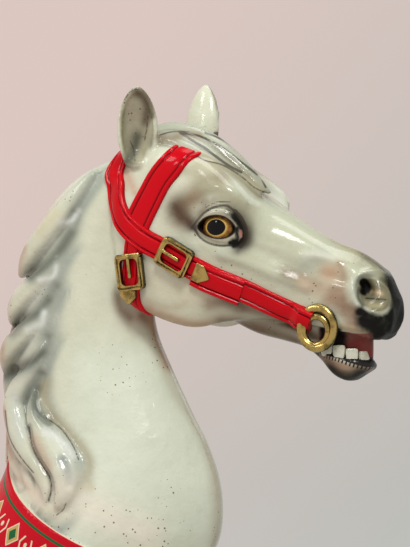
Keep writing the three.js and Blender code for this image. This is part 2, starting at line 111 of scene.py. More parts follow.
def catmull(points: Array | Line | Flat, count: int, closed: bool = False) -> Array:
    """Samples a centripetal spline.

    Args:
        points: control points, shape (n, k), or (n, m, k) for m splines side by side.
        count: how many places to sample, evenly by control point.
        closed: whether the spline joins up with its start.

    Returns:
        The sampled places, shape (count, k) or (count, m, k).
    """
    p = np.asarray(points, float)
    spans = len(p) if closed else len(p) - 1
    place = np.arange(count) * spans / (count if closed else count - 1)
    i = np.minimum(place.astype(int), spans - 1)
    before, after = (p[-1:], p[:2]) if closed else (2 * p[:1] - p[1:2], 2 * p[-1:] - p[-2:-1])
    ext = np.concatenate([before, p, after])
    a, b, c, d = (ext[i + k] for k in range(4))
    w = (place - i).reshape((-1,) + (1,) * (p.ndim - 1))
    d0, d1, d2 = (np.maximum(((u - v) ** 2).sum(-1, keepdims=True) ** 0.25, 1e-4)
                  for u, v in ((a, b), (b, c), (c, d)))
    t1 = ((b - a) / d0 - (c - a) / (d0 + d1) + (c - b) / d1) * d1
    t2 = ((c - b) / d1 - (d - b) / (d1 + d2) + (d - c) / d2) * d1
    return b + t1 * w + (3 * (c - b) - 2 * t1 - t2) * w**2 + (2 * (b - c) + t1 + t2) * w**3


def mirrored(points: Line) -> Line:
    """The same points on the other side of the horse."""
    return [(x, -y, z) for x, y, z in points]


def on_side(points: Line, side: Side) -> Line:
    """Points given for the left side, placed on either side."""
    return points if side is Side.LEFT else mirrored(points)


def unit(v: Array) -> Array:
    """Vectors scaled to length one."""
    return v / np.maximum(np.linalg.norm(v, axis=-1, keepdims=True), 1e-9)


def step(x: Array | float, low: float, high: float) -> Array:
    """A smooth rise from 0 at low to 1 at high."""
    t = np.clip((x - low) / (high - low), 0, 1)
    return t * t * (3 - 2 * t)


def bell(distance: Array, radius: float) -> Array:
    """A soft round brush: 1 at its middle and nearly 0 at its radius."""
    return np.exp(-((distance / radius) ** 2) * 2.2)


def path_length(path: Array) -> float:
    """The length of a path through its corners."""
    return np.linalg.norm(np.diff(path, axis=0), axis=1).sum()


def path_distance(points: Array, path: Array) -> tuple[Array, Array]:
    """How far points lie from a path.

    Args:
        points: places, shape (n, k).
        path: the path's corners, shape (m, k).

    Returns:
        The distance of each point, and the share of the path's corners passed at its nearest place.
    """
    best = np.full(len(points), np.inf)
    share = np.zeros(len(points))
    for i in range(len(path) - 1):
        a, ab = path[i], path[i + 1] - path[i]
        t = np.clip(((points - a) @ ab) / max(ab @ ab, 1e-9), 0, 1)
        d = np.linalg.norm(points - a - t[:, None] * ab, axis=1)
        closer = d < best
        best[closer] = d[closer]
        share[closer] = ((i + t) / (len(path) - 1))[closer]
    return best, share


def loop_distance(points: Array, loop: Array) -> Array:
    """Signed distance to a closed flat outline, negative inside. Both have shape (n, 2)."""
    closed = np.vstack([loop, loop[:1]])
    distance, _ = path_distance(points, closed)
    inside = np.zeros(len(points), bool)
    for (x0, y0), (x1, y1) in zip(closed[:-1], closed[1:]):
        crosses = (y0 > points[:, 1]) != (y1 > points[:, 1])
        at = (x1 - x0) * (points[:, 1] - y0) / (y1 - y0 if y1 != y0 else 1e-9) + x0
        inside ^= crosses & (points[:, 0] < at)
    return np.where(inside, -distance, distance)


def closed_curve(points: Flat, count: int = 80) -> Array:
    """A smooth closed outline, shape (count, 2)."""
    return catmull(points, count, closed=True)


# ---------------------------------------------------------------- meshes


class Shells:
    """Gathers closed shells of rings into one mesh."""

    def __init__(self) -> None:
        """Starts with nothing in it."""
        self.points: list[Array] = []
        self.faces: list[tuple[int, ...]] = []
        self.count = 0

    def add(self, rings: Array) -> None:
        """Adds a capped shell through rings in millimetres, shape (along, round, 3)."""
        along, around = rings.shape[:2]
        i, j = np.meshgrid(np.arange(along - 1), np.arange(around), indexing="ij")
        here, ahead, nxt = i * around, (i + 1) * around, (j + 1) % around
        quads = np.stack([here + j, ahead + j, ahead + nxt, here + nxt], -1).reshape(-1, 4)
        points = np.vstack([rings.reshape(-1, 3), rings[0].mean(0), rings[-1].mean(0)])
        a, b, c, d = (points[quads[:, k]] for k in range(4))
        volume = (np.cross(a, b) * c).sum() + (np.cross(a, c) * d).sum()
        caps: list[tuple[int, ...]] = []
        last = (along - 1) * around
        for k in range(around):
            after = (k + 1) % around
            caps += [(along * around, k, after), (along * around + 1, last + after, last + k)]
        for face in caps:
            p, q, r = points[list(face)]
            volume += np.dot(np.cross(p, q), r)
        faces = [tuple(v + self.count for v in face) for face in [*quads.tolist(), *caps]]
        if volume < 0:
            faces = [f[::-1] for f in faces]
        self.points.append(points)
        self.faces += faces
        self.count += len(points)

    def build(self, name: str) -> Object:
        """Makes the object, in metres."""
        return make_object(name, np.vstack(self.points), self.faces)


def shell(name: str, rings: Array) -> Object:
    """Makes an object of one shell."""
    shells = Shells()
    shells.add(rings)
    return shells.build(name)


def link(name: str, data: bpy.types.ID) -> Object:
    """Puts data in the scene as an object."""
    made = bpy.data.objects.new(name, data)
    bpy.context.scene.collection.objects.link(made)
    return made


def make_object(name: str, points: Array, faces: list[tuple[int, ...]]) -> Object:
    """Makes a mesh object from points in millimetres, at the origin.

    Args:
        name: the object's name.
        points: its vertices.
        faces: its faces.

    Returns:
        The object, linked to the scene.
    """
    mesh = bpy.data.meshes.new(name)
    mesh.from_pydata((np.asarray(points) * MM).tolist(), [], faces)
    mesh.update()
    return link(name, mesh)


def choose(*objects: Object) -> None:
    """Selects only these objects, and makes the first one active."""
    bpy.ops.object.select_all(action="DESELECT")
    for item in objects:
        item.select_set(True)
    bpy.context.view_layer.objects.active = objects[0]


def apply_modifier(item: Object, kind: str, **settings: object) -> None:
    """Adds one modifier with its settings and applies it.

    Args:
        item: the object.
        kind: the modifier's type.
        settings: its properties by name.
    """
    choose(item)
    modifier = item.modifiers.new(kind.title(), kind)
    for key, value in settings.items():
        setattr(modifier, key, value)
    bpy.ops.object.modifier_apply(modifier=modifier.name)


def smooth_shade(item: Object, angle: float = 180.0) -> None:
    """Shades an object smooth where its faces meet at less than an angle in degrees."""
    choose(item)
    bpy.ops.object.shade_smooth_by_angle(angle=math.radians(angle))


def bake_place(item: Object) -> None:
    """Puts an object's place, turn and scale into its mesh."""
    choose(item)
    bpy.ops.object.transform_apply(location=True, rotation=True, scale=True)


def primitive(kind: str, **settings: object) -> Object:
    """Adds one of the basic meshes, and gives it back alone and selected."""
    bpy.ops.object.select_all(action="DESELECT")
    getattr(bpy.ops.mesh, f"primitive_{kind}_add")(**settings)
    return bpy.context.object


def joined(items: list[Object]) -> Object:
    """Joins objects into the first of them."""
    choose(*items)
    bpy.ops.object.join()
    return bpy.context.object


@contextmanager
def editing(select: str | None = "SELECT") -> Iterator[None]:
    """Edits the active object's mesh, with all of it selected, none of it, or what was."""
    bpy.ops.object.mode_set(mode="EDIT")
    if select:
        bpy.ops.mesh.select_all(action=select)
    yield
    bpy.ops.object.mode_set(mode="OBJECT")


def read_vectors(elements: bpy.types.bpy_prop_collection, name: str) -> Array:
    """One vector for each of a mesh's elements, shape (n, 3)."""
    flat = np.empty(len(elements) * 3)
    elements.foreach_get(name, flat)
    return flat.reshape(-1, 3)


class Clay:
    """The vertices of a mesh, pushed about in millimetres."""

    def __init__(self, item: Object) -> None:
        """Takes places and directions from the object's mesh."""
        self.item = item
        self.co = read_vectors(item.data.vertices, "co") / MM
        self.out = read_vectors(item.data.vertex_normals, "vector")

    def write(self) -> None:
        """Puts the places back into the mesh and takes the directions outwards afresh."""
        self.item.data.vertices.foreach_set("co", (self.co * MM).ravel())
        self.item.data.update()
        self.out = read_vectors(self.item.data.vertex_normals, "vector")

    def near(self, path: Line, radius: float) -> Array:
        """A soft mask round a path, which all but fades at a radius."""
        line = catmull(path, 40) if len(path) > 2 else np.array(path, float)
        low, high = line.min(0) - radius * 1.6, line.max(0) + radius * 1.6
        mask = np.zeros(len(self.co))
        inside = ((self.co > low) & (self.co < high)).all(1)
        if inside.any():
            mask[inside] = bell(path_distance(self.co[inside], line)[0], radius)
        return mask

    def lid_spots(self, eye: "EyePlace", side: Side, reach: Flat, inner: float) -> tuple[Array, Array]:
        """The vertices about one eye.

        Args:
            eye: the eye's place.
            side: its side.
            reach: how far to look from its middle, in x and in z.
            inner: how far out from the midline they lie at least.

        Returns:
            Which vertices they are, and their places in x and z.
        """
        flat, (x, _, z) = self.co[:, [0, 2]], eye.centre
        close = (np.abs(flat - (x, z)) < reach).all(1) & (self.co[:, 1] * side.value > inner)
        return close, flat[close]

    def quarter(self, side: Side) -> tuple[Array, Array]:
        """Each vertex as it is seen from the front quarter.

        Args:
            side: the side that it is seen from.

        Returns:
            Distance across the view and height, shape (n, 2), and how squarely each vertex faces it.
        """
        outward = self.co[:, 1] * side.value
        flat = np.stack([self.co[:, 0] * VIEW_COS - outward * VIEW_SIN, self.co[:, 2]], 1)
        toward = self.out[:, 0] * VIEW_SIN + self.out[:, 1] * side.value * VIEW_COS
        return flat, np.where(outward > -8, toward, -1.0)

    def from_line(self, line: Flat, side: Side, shift: float = 0.0) -> Array:
        """How far each vertex is from a line drawn in the view of the front quarter.

        Args:
            line: the line's corners, across and up.
            side: the side that it is drawn on.
            shift: how far the line is moved across.

        Returns:
            The distance in mm, and FAR for vertices that are far off or face away.
        """
        flat, toward = self.quarter(side)
        corners = np.array(line, float) + (shift, 0)
        path = catmull(corners, 10 * len(line)) if len(line) > 2 else corners
        boxed = ((flat > path.min(0) - NEARBY) & (flat < path.max(0) + NEARBY)).all(1)
        found = (toward > -0.4) & boxed
        away = np.full(len(self.co), FAR)
        away[found] = path_distance(flat[found], path)[0]
        return away

    def seen(self, line: Flat, radius: float, side: Side = Side.RIGHT, shift: float = 0.0) -> Array:
        """A soft mask round a line drawn in the view of the front quarter."""
        _, toward = self.quarter(side)
        return bell(self.from_line(line, side, shift), radius) * step(toward, -0.35, -0.05)

    def soften(self, values: Array, rounds: int) -> Array:
        """Values averaged with their neighbours' a number of times."""
        edges = self.item.data.edges
        pairs = np.empty(len(edges) * 2, np.int32)
        edges.foreach_get("vertices", pairs)
        a, b = pairs.reshape(-1, 2).T
        count = len(self.co)
        degree = np.maximum(np.bincount(a, minlength=count) + np.bincount(b, minlength=count), 1)
        columns = values.reshape(count, -1).T.copy()
        for _ in range(rounds):
            for k, column in enumerate(columns):
                total = np.bincount(a, column[b], count) + np.bincount(b, column[a], count)
                columns[k] = 0.4 * column + 0.6 * total / degree
        return columns.T.reshape(values.shape)

    def hollowness(self, rounds: int) -> Array:
        """How deep each vertex lies in a hollow, in mm, and below zero on a ridge."""
        return ((self.soften(self.co, rounds) - self.co) * self.out).sum(1)

    def push(self, mask: Array, height: float) -> None:
        """Moves vertices outwards by a height where the mask is 1."""
        self.co += self.out * (mask * height)[:, None]

    def drawn_in(self, outline: Array, side: Side, among: Array, low: float, high: float) -> Array:
        """How far inside an outline drawn in the view of the front quarter each vertex lies.

        Args:
            outline: the closed outline's corners, across and up.
            side: the side that it is drawn on.
            among: which vertices to look at.
            low: the depth inside the outline that counts as 0.
            high: the depth that counts as 1.

        Returns:
            A value from 0 to 1 for each vertex.
        """
        flat, _ = self.quarter(side)
        inside = np.zeros(len(flat))
        inside[among] = step(-loop_distance(flat[among], outline), low, high)
        return inside

    def slide(self, mask: Array, move: Point) -> None:
        """Moves vertices along a direction where the mask is 1."""
        self.co += mask[:, None] * np.array(move)

    def paint(self, name: str, *channels: Array) -> None:
        """Stores one value, or three as a colour, for each vertex under a name."""
        kind, key = ("FLOAT", "value") if len(channels) == 1 else ("FLOAT_COLOR", "color")
        if len(channels) > 1:
            channels = (*channels, np.ones(len(self.co)))
        layer = self.item.data.attributes.new(name, kind, "POINT")
        layer.data.foreach_set(key, np.stack(channels, 1).astype(np.float32).ravel())


class Skin:
    """Finds the nearest place on a surface and the direction out of it."""

    def __init__(self, item: Object, soften: int = 0) -> None:
        """Builds the search tree, from a copy of the surface smoothed a few times if asked."""
        mesh = bmesh.new()
        mesh.from_mesh(item.data)
        for _ in range(soften):
            bmesh.ops.smooth_vert(
                mesh, verts=mesh.verts, factor=0.5, use_axis_x=True, use_axis_y=True, use_axis_z=True)
        self.tree = BVHTree.FromBMesh(mesh)
        mesh.free()

    def nearest(self, point: Array) -> tuple[Array, Array]:
        """The nearest place to a point and the direction out there, in millimetres."""
        spot, out, _, _ = self.tree.find_nearest(Vector(np.asarray(point, float) * MM))
        return np.array(spot) / MM, np.array(out)


# ---------------------------------------------------------------- the moulding's forms


@dataclass(frozen=True)
class Skull:
    """The skull and upper jaw, drawn by feature lines from back to front."""

    crown: Line = (
        (78, 0, 560), (112, 0, 584), (158, 0, 592), (203, 0, 582), (248, 0, 552), (292, 0, 514),
        (345, 0, 480), (400, 0, 449), (447, 0, 431), (482, 0, 405), (500, 0, 368))
    brow: Line = (
        (80, 22, 550), (110, 37, 573), (156, 52, 577), (212, 66, 560), (285, 78, 515),
        (314, 48, 482), (352, 36, 462), (404, 32, 435), (449, 33, 411), (481, 30, 386),
        (498, 18, 362))
    temple: Line = (
        (80, 40, 510), (102, 58, 520), (150, 68, 514), (206, 76, 502), (260, 78, 474),
        (310, 62, 440), (358, 48, 412), (408, 42, 394), (454, 44, 376), (483, 36, 362),
        (499, 19, 351))
    cheek: Line = (
        (84, 48, 450), (98, 62, 440), (142, 70, 424), (200, 71, 412), (256, 68, 402),
        (310, 57, 388), (360, 46, 370), (408, 42, 353), (451, 42, 346), (481, 34, 340),
        (498, 18, 340))
    jaw: Line = (
        (92, 42, 400), (104, 54, 376), (146, 53, 348), (206, 48, 330), (254, 42, 338),
        (304, 38, 342), (352, 36, 338), (402, 36, 330), (446, 33, 321), (476, 24, 315),
        (493, 12, 326))
    gullet: Line = (
        (96, 0, 396), (112, 0, 366), (150, 0, 356), (206, 0, 350), (256, 0, 350), (306, 0, 348),
        (354, 0, 342), (402, 0, 336), (444, 0, 326), (473, 0, 313), (490, 0, 322))

    def rings(self, along: int = 130, around: int = 150) -> Array:
        """The skull's rings."""
        lines = [self.crown, self.brow, self.temple, self.cheek, self.jaw, self.gullet]
        return loft(lines, along, around)


def loft(lines: list[Line], along: int, around: int) -> Array:
    """Rings whose half sections run through feature lines, from one midline to the other.

    Args:
        lines: the left half's lines, the first and last of them on the midline.
        along: how many rings.
        around: how many points in a ring.

    Returns:
        The rings, shape (along, around, 3).
    """
    half = np.stack([catmull(line, along) for line in lines])
    other = half[1:-1][::-1] * np.array([1, -1, 1])
    return catmull(np.concatenate([half, other]), around, closed=True).transpose(1, 0, 2)


@dataclass(frozen=True)
class Neck:
    """The neck by level: height, back, front and half width, and how a section's points lie."""

    levels: Sequence[tuple[float, float, float, float]] = (
        (-16, -179, 196, 119), (0, -176, 204, 120), (40, -160, 221, 120), (80, -130, 225, 113),
        (120, -103, 220, 103), (165, -91, 204, 93), (215, -90, 177, 84), (270, -89, 149, 75),
        (326, -84, 125, 68), (390, -70, 118, 62), (450, -42, 118, 57), (505, 2, 119, 50),
        (545, 46, 118, 40), (575, 84, 112, 22))
    section: Flat = (
        (0, 0), (0.05, 0.4), (0.2, 0.79), (0.43, 0.98), (0.67, 0.95), (0.89, 0.6), (1, 0))

    def rings(self, along: int = 120, around: int = 150) -> Array:
        """The neck's rings."""
        lines = [
            [(back + depth * (front - back), width * half, z) for z, back, front, half in self.levels]
            for depth, width in self.section
        ]
        return loft(lines, along, around)


@dataclass(frozen=True)
class LowerJaw:
    """The lower jaw and what closes the mouth behind the lips: x, top, underside, half width."""

    bone: Sequence[tuple[float, float, float, float]] = (
        (240, 356, 344, 26), (290, 346, 321, 30), (330, 338, 311, 29), (365, 327, 301, 28),
        (388, 311, 284, 28), (408, 299, 263, 30), (428, 290, 256, 28), (448, 283, 266, 22),
        (462, 280, 272, 11))
    mouth: Sequence[tuple[float, float, float, float]] = (
        (366, 345, 300, 20), (400, 340, 285, 22), (430, 332, 278, 18), (450, 324, 276, 12),
        (459, 314, 280, 5))

    section: Flat = ((0, 0), (0.8, 0.06), (1, 1 / 3), (0.66, 0.9), (0, 1))

    def shells(self) -> list[Array]:
        """The rings of both bars, whose section is given by its share of the half width and depth."""
        return [loft([[(x, half * out, top - down * (top - low)) for x, top, low, half in stations]
                      for out, down in self.section], 50, 60) for stations in (self.bone, self.mouth)]


@dataclass(frozen=True)
class Ear:
    """One ear: a leaf about its axis, hollowed on its open side."""

    base: Point
    tip: Point
    turn: float
    wall: float = 6.5
    outline: Line = (
        (0, 17, 14), (0.15, 23, 17), (0.35, 28, 19), (0.55, 28, 17), (0.75, 23, 13),
        (0.9, 14.5, 8.5), (1, 4, 3.5))

    def rings(self, along: int = 60, around: int = 72) -> Array:
        """The ear's rings: a crescent section that fills in at its root and its tip."""
        base, tip = np.array(self.base, float), np.array(self.tip, float)
        axis = tip - base
        up = unit(axis)
        turn = math.radians(self.turn)
        face = np.array([math.cos(turn), math.sin(turn), 0.0])
        face = unit(face - up * (face @ up))
        side = np.cross(up, face)
        back = np.linspace(-0.25, math.pi + 0.25, around // 2)
        front = back[::-1]
        rings = []
        for t, wide, deep in catmull(self.outline, along):
            hollow = step(t, 0.04, 0.2) * (1 - step(t, 0.86, 0.98))
            inner_wide, inner_deep = max(wide - self.wall, 0.8), max(deep - self.wall * 0.9, 0.5)
            across = np.concatenate([wide * np.cos(back), inner_wide * np.cos(front)])
            cup = -inner_deep * np.sin(front)
            dome = deep * 0.75 * np.abs(np.sin(front))
            out = np.concatenate([-deep * np.sin(back), hollow * cup + (1 - hollow) * dome])
            rings.append(base + axis * t + across[:, None] * side + out[:, None] * face)
        return np.array(rings)


@dataclass(frozen=True)
class Lock:
    """One lock of hair: the line it follows from its root, its half width and where it is full."""

    path: Line
    half: float
    full: float
    strands: int = 3
    twist: float = 1.2
    depth: float = 0.09

    def rings(self, facing: "Facing", around: int = 40) -> Array:
        """The lock's rings, grooved into strands.

        Args:
            facing: which way is out from the form beneath.
            around: how many points in a ring.

        Returns:
            The rings, shape (along, around, 3).
        """
        along = 12 * len(self.path)
        line = catmull(self.path, along)
        ahead = unit(np.gradient(line, axis=0))
        out = facing.out(line)
        out = unit(out - ahead * (out * ahead).sum(1, keepdims=True))
        across = np.cross(ahead, out)
        t = np.linspace(0, 1, along)
        past = 0.5 + 0.5 * (t - self.full) / (1 - self.full)
        phase = np.where(t < self.full, 0.5 * t / self.full, past)
        width = self.half * (0.2 + 0.8 * np.sin(np.pi * phase) ** 0.7)
        angle = np.linspace(0, 2 * np.pi, around, endpoint=False)
        ridge = np.abs(np.cos(self.strands * angle[None] / 2 + self.twist * t[:, None] + 0.6))
        grooved = 1.04 - self.depth * (1 - ridge) ** 1.6
        wide = (width[:, None] * np.cos(angle) * grooved)[..., None]
        deep = (width[:, None] * 0.8 * np.sin(angle) * grooved)[..., None]
        return line[:, None] + across[:, None] * wide + out[:, None] * deep


class Facing(Enum):
    """Which way out is, under a lock of hair."""

    NECK = "neck"
    SKULL = "skull"

    def out(self, points: Array) -> Array:
        """Directions out of the form beneath, at points."""
        if self is Facing.NECK:
            lean = points[:, 0] - (0.16 * points[:, 2] - 10)
            return unit(np.stack([lean, points[:, 1], np.zeros(len(points))], 1))
        ones = np.ones(len(points))
        return unit(np.stack([0.35 * ones, points[:, 1] / 60, ones], 1))


@dataclass(frozen=True)
class Hair:
    """The mane on both sides of the neck, its back, and the forelock."""

    right: tuple[Lock, ...] = (
        Lock([(66, -6, 560), (24, -14, 532), (-10, -12, 500), (-44, -4, 462), (-72, 0, 432)], 17, 0.6),
        Lock([(48, -32, 546), (18, -38, 508), (-16, -36, 468), (-54, -22, 430), (-84, -2, 400)], 22, 0.64),
        Lock([(14, -43, 446), (-14, -44, 412), (-48, -34, 382), (-80, -16, 356), (-96, 2, 330)], 22, 0.62),
        Lock([(2, -48, 388), (-26, -48, 346), (-62, -38, 316), (-92, -18, 290), (-106, 2, 262)], 22, 0.6),
        Lock([(-6, -58, 322), (-27, -62, 280), (-54, -57, 250), (-66, -54, 222), (-58, -62, 193),
              (-35, -80, 160), (-8, -92, 137), (11, -101, 105), (12, -106, 82)], 21, 0.48),
        Lock([(-30, -64, 240), (-24, -72, 212), (-8, -82, 184), (17, -92, 156), (39, -102, 129),
              (43, -108, 103), (31, -112, 76)], 26, 0.6, twist=0.5, depth=0.15))
    tufts: tuple[Lock, ...] = (
        Lock([(-74, -48, 176), (-60, -64, 142), (-38, -80, 112)], 12, 0.5),
        Lock([(-46, -70, 150), (-28, -84, 116), (-10, -94, 90)], 11, 0.5),
        Lock([(-18, -86, 124), (0, -96, 98), (14, -102, 76)], 9, 0.5))
    left: tuple[Lock, ...] = (
        Lock([(50, 32, 545), (18, 40, 504), (-16, 38, 460), (-50, 24, 422), (-78, 4, 396)], 23, 0.6),
        Lock([(8, 44, 436), (-20, 46, 394), (-56, 36, 356), (-88, 18, 326), (-102, 0, 300)], 24, 0.6),
        Lock([(-4, 49, 362), (-32, 53, 318), (-62, 46, 280), (-92, 26, 254), (-106, 4, 232)], 23, 0.6),
        Lock([(-8, 58, 300), (-40, 66, 250), (-60, 70, 200), (-50, 82, 152), (-20, 98, 112),
              (8, 112, 70)], 22, 0.45),
        Lock([(-36, 66, 236), (-8, 80, 196), (24, 92, 160), (42, 104, 122), (30, 113, 84)], 18, 0.5))
    back: tuple[Lock, ...] = (
        Lock([(-74, 0, 320), (-92, -6, 276), (-94, 6, 232), (-90, -4, 186), (-104, 0, 132)], 22, 0.5),)
    fore: tuple[Lock, ...] = (
        Lock([(92, 6, 588), (148, 12, 599), (200, 18, 586), (244, 26, 556), (278, 30, 526)], 16, 0.45),
        Lock([(92, -4, 590), (148, -6, 603), (204, -8, 591), (252, -8, 562), (306, -6, 514)], 16, 0.45),
        Lock([(112, -20, 582), (158, -24, 592), (202, -28, 580), (246, -26, 552), (296, -14, 514)], 14, 0.45),
        Lock([(132, -30, 580), (158, -38, 588), (191, -43, 580), (218, -44, 566), (244, -36, 552),
              (268, -22, 536), (292, -12, 520)], 11, 0.5))

    def shells(self) -> list[Array]:
        """The rings of every lock."""
        mane = [lock.rings(Facing.NECK) for lock in self.mane]
        return mane + [lock.rings(Facing.SKULL) for lock in self.fore]

    @property
    def mane(self) -> tuple[Lock, ...]:
        """Every lock but the forelock's."""
        return self.right + self.tufts + self.left + self.back


@dataclass(frozen=True)
class EyePlace:
    """Where an eye sits on the left side, and the outlines of its lids in x and z."""

    centre: Point = (258, 50, 466.5)
    radius: float = 32
    gaze: tuple[float, float] = (258, 467.5)
    oval: float = 1.28
    opening: Flat = (
        (232, 468), (241, 478.5), (256, 483), (271, 481.5), (281.5, 474), (285.5, 465),
        (280, 457.5), (268, 453), (253, 454), (240, 459.5))
    fold: Flat = (
        (222, 467), (235, 483), (253, 491), (270, 491.5), (284, 484), (294, 469.5), (298, 456),
        (292, 447.5), (280, 445), (266, 444.5), (252, 448), (239, 454), (229, 460.5))


@dataclass(frozen=True)
class Moulding:
    """The one-piece moulding of head, neck, ears and hair, and the paint laid on it."""

    skull: Skull = Skull()
    neck: Neck = Neck()
    jaw: LowerJaw = LowerJaw()
    ears: tuple[Ear, ...] = (
        Ear((126, -54, 552), (132, -71, 664), -64), Ear((168, 54, 552), (172, 67, 668), 77))
    hair: Hair = Hair()
    eye: EyePlace = EyePlace()
    trapping_edge: Flat = (
        (-210, 330), (-150, 235), (-96, 156), (-82, 135), (-66, 117), (-43, 96), (-19, 78), (9, 60),
        (40, 43), (67, 30), (104, 14), (150, -6), (260, -60))
    nostril: Flat = (
        (452, 384), (457, 398), (470, 403), (484, 396), (492, 380), (489, 362), (478, 353), (464, 358),
        (455, 370))
    gum_line: Line = (
        (390, 30, 302), (404, 32, 299), (420, 31, 295), (437, 26, 289), (450, 16, 285), (457, 0, 283))
    trapping_relief: float = 3.6
    trapping_top: float = 190
    crossing: float = 330
    hair_gap: float = 40
    lid_relief: float = 3.2
    voxel: float = 2.3
    triangles: int = 190000

    def gather(self, dressed: bool = True) -> Object:
        """Joins every form into one skin.

        Args:
            dressed: whether the ears and the hair are on.

        Returns:
            The moulding's object, one closed mesh of even facets.
        """
        shells = Shells()
        for rings in [self.skull.rings(), self.neck.rings(), *self.jaw.shells()]:
            shells.add(rings)
        if dressed:
            for rings in [ear.rings() for ear in self.ears] + self.hair.shells():
                shells.add(rings)
        item = shells.build("moulded_horse" if dressed else "bare_horse")
        self._even_out(item, self.voxel if dressed else self.voxel * 1.5, 3)
        return item

    @staticmethod
    def _even_out(item: Object, voxel: float, rounds: int) -> None:
        """Gives the skin even facets and smooths it."""
        apply_modifier(item, "REMESH", mode="VOXEL", voxel_size=voxel * MM, adaptivity=0.0)
        apply_modifier(item, "SMOOTH", factor=0.5, iterations=rounds)

    def bare_skin(self) -> Skin:
        """The worked head and neck without ears and hair, on which the bridle lies."""
        item = self.gather(dressed=False)
        clay = Clay(item)
        for side in Side:
            self._sculpt_eye(clay, side)
            self._sculpt_face(clay, side)
        clay.write()
        skin = Skin(item, soften=4)
        bpy.data.objects.remove(item)
        return skin

    def sculpt(self, item: Object) -> None:
        """Works the nostrils, the face and the raised trapping into the skin."""
        clay = Clay(item)
        for side in Side:
            self._sculpt_nostril(clay, side)
        clay.write()
        self._even_out(item, self.voxel, 1)
        clay = Clay(item)
        for side in Side:
            self._sculpt_eye(clay, side)
        clay.write()
        for side in Side:
            self._sculpt_face(clay, side)
        clay.write()
        for groove in MANE_GROOVES:
            clay.push(clay.seen(groove[-5:], 9), -3.5)
        clay.push(clay.seen(MANE_SPLIT, 5), -3.0)
        clay.push(clay.seen(MANE_HOLLOW, 9), -3.0)
        clay.write()
        bare = self._on_form(clay, self.neck.rings(), clay.co[:, 2] < self.trapping_top, 1.6, 3.2)
        behind, _ = self.trapping_frame(clay)
        clay.push(step(behind, -0.8, 1.6) * bare, self.trapping_relief)
        clay.write()

    def _facing(self, clay: Clay, side: Side) -> Array:
        """1 for the vertices on one side of the head that face out that way."""
        return (np.sign(clay.co[:, 1]) == side.value) * step(clay.out[:, 1] * side.value, 0.0, 0.35)

    def _sculpt_eye(self, clay: Clay, side: Side) -> None:
        """Raises the lids round one eye and sinks the crease round them."""
        close, spots = clay.lid_spots(self.eye, side, (75, 70), 35)
        inner = loop_distance(spots, closed_curve(self.eye.opening))
        fold = loop_distance(spots, closed_curve(self.eye.fold))
        lid = step(inner, -12, 0) * step(-fold, -2.5, 3.5) * self.lid_relief
        above = spots[:, 1] - self.eye.centre[2]
        crease = bell(fold - 1.5, 3.6) * (1.2 + step(above, -12, 10))
        around = bell(np.maximum(fold, 0), 26) * 1.2
        move = np.zeros(len(clay.co))
        move[close] = lid - crease + around
        clay.co[:, 1] += move * side.value

    def _sculpt_face(self, clay: Clay, side: Side) -> None:
        """Works the brow, the cheek bones and the lips of one side."""
        strokes: Sequence[tuple[Line, float, float]] = [
            ([(226, 72, 508), (248, 74, 520), (272, 74, 519), (296, 66, 503)], 11, 3.0),
            ([(210, 70, 496), (214, 72, 474), (226, 74, 452)], 10, -1.6),
            ([(196, 66, 540), (222, 68, 536)], 17, -2.4),
            ([(262, 75, 430), (300, 66, 418), (345, 52, 398), (380, 46, 384)], 11, 3.4),
            ([(306, 60, 440), (340, 50, 424), (372, 44, 408)], 13, -3.0),
            ([(374, 44, 430), (400, 42, 427), (425, 40, 420)], 9, 2.4),
            ([(404, 44, 402), (420, 42, 398), (436, 42, 394)], 11, -2.4),
            ([(300, 70, 466), (322, 60, 452), (344, 52, 444)], 8, -1.6),
            ([(250, 70, 392), (300, 58, 376), (344, 50, 362)], 10, -1.8),
            ([(404, 46, 336), (436, 44, 331), (462, 36, 326), (482, 18, 322)], 6, 2.0),
            ([(404, 44, 346), (436, 46, 344), (466, 38, 338)], 5, -1.2),
            ([(392, 38, 318), (404, 38, 326), (416, 40, 330)], 5, -2.2),
            ([(384, 40, 346), (376, 42, 334), (372, 42, 320)], 6, -1.6),
            ([(362, 42, 352), (352, 42, 340), (350, 40, 326)], 6, -1.2),
            ([(400, 33, 290), (420, 31, 285), (438, 26, 280), (452, 15, 277)], 7, 3.0),
        ]
        facing = self._facing(clay, side)
        for path, radius, height in strokes:
            clay.push(clay.near(on_side(path, side), radius) * facing, height)
        gums = [(x, y, z - 4) for x, y, z in self.gum_line]
        clay.slide(clay.near(on_side(gums, side), 9), (0, 0, 3.5))

    def _sculpt_nostril(self, clay: Clay, side: Side) -> None:
        """Raises one nostril's rim, sinks its opening and cuts the hole in its upper back part."""
        facing = self._facing(clay, side)
        close = (clay.co[:, 0] > 430) & (facing > 0)
        spots = clay.co[close][:, [0, 2]]
        edge = loop_distance(spots, closed_curve(self.nostril, 70))
        rim, sunk = np.zeros((2, len(clay.co)))
        forward = step(spots[:, 0], 468, 484)
        rim[close] = bell(edge - 2.5, 5.5) * (1 - 0.75 * forward)
        sunk[close] = step(-edge, -1.0, 6.0) * (1 - 0.55 * forward)
        clay.push(rim * facing, 4.0)
        clay.slide(sunk * facing, (-2.5, -6.0 * side.value, 0))
        hole = clay.near(on_side([(464, 38, 390), (467, 36, 380)], side), 14)
        clay.slide(np.minimum(hole * 1.5, 1) * facing, (-7, -19 * side.value, -1))
        fold = clay.near(on_side([(474, 35, 370), (483, 31, 371), (489, 27, 376)], side), 5)
        clay.slide(fold * facing, (0.5, 1.5 * side.value, 0))

    def trapping_frame(self, clay: Clay) -> tuple[Array, Array]:
        """How far each vertex lies behind the trapping's edge, and how far along it, in mm."""
        edge = catmull(self.trapping_edge, 120)
        spots = clay.co[:, [0, 2]]
        distance, share = path_distance(spots, edge)
        above = np.interp(spots[:, 0], edge[:, 0], edge[:, 1])
        return np.where(spots[:, 1] < above, distance, -distance), share * path_length(edge)

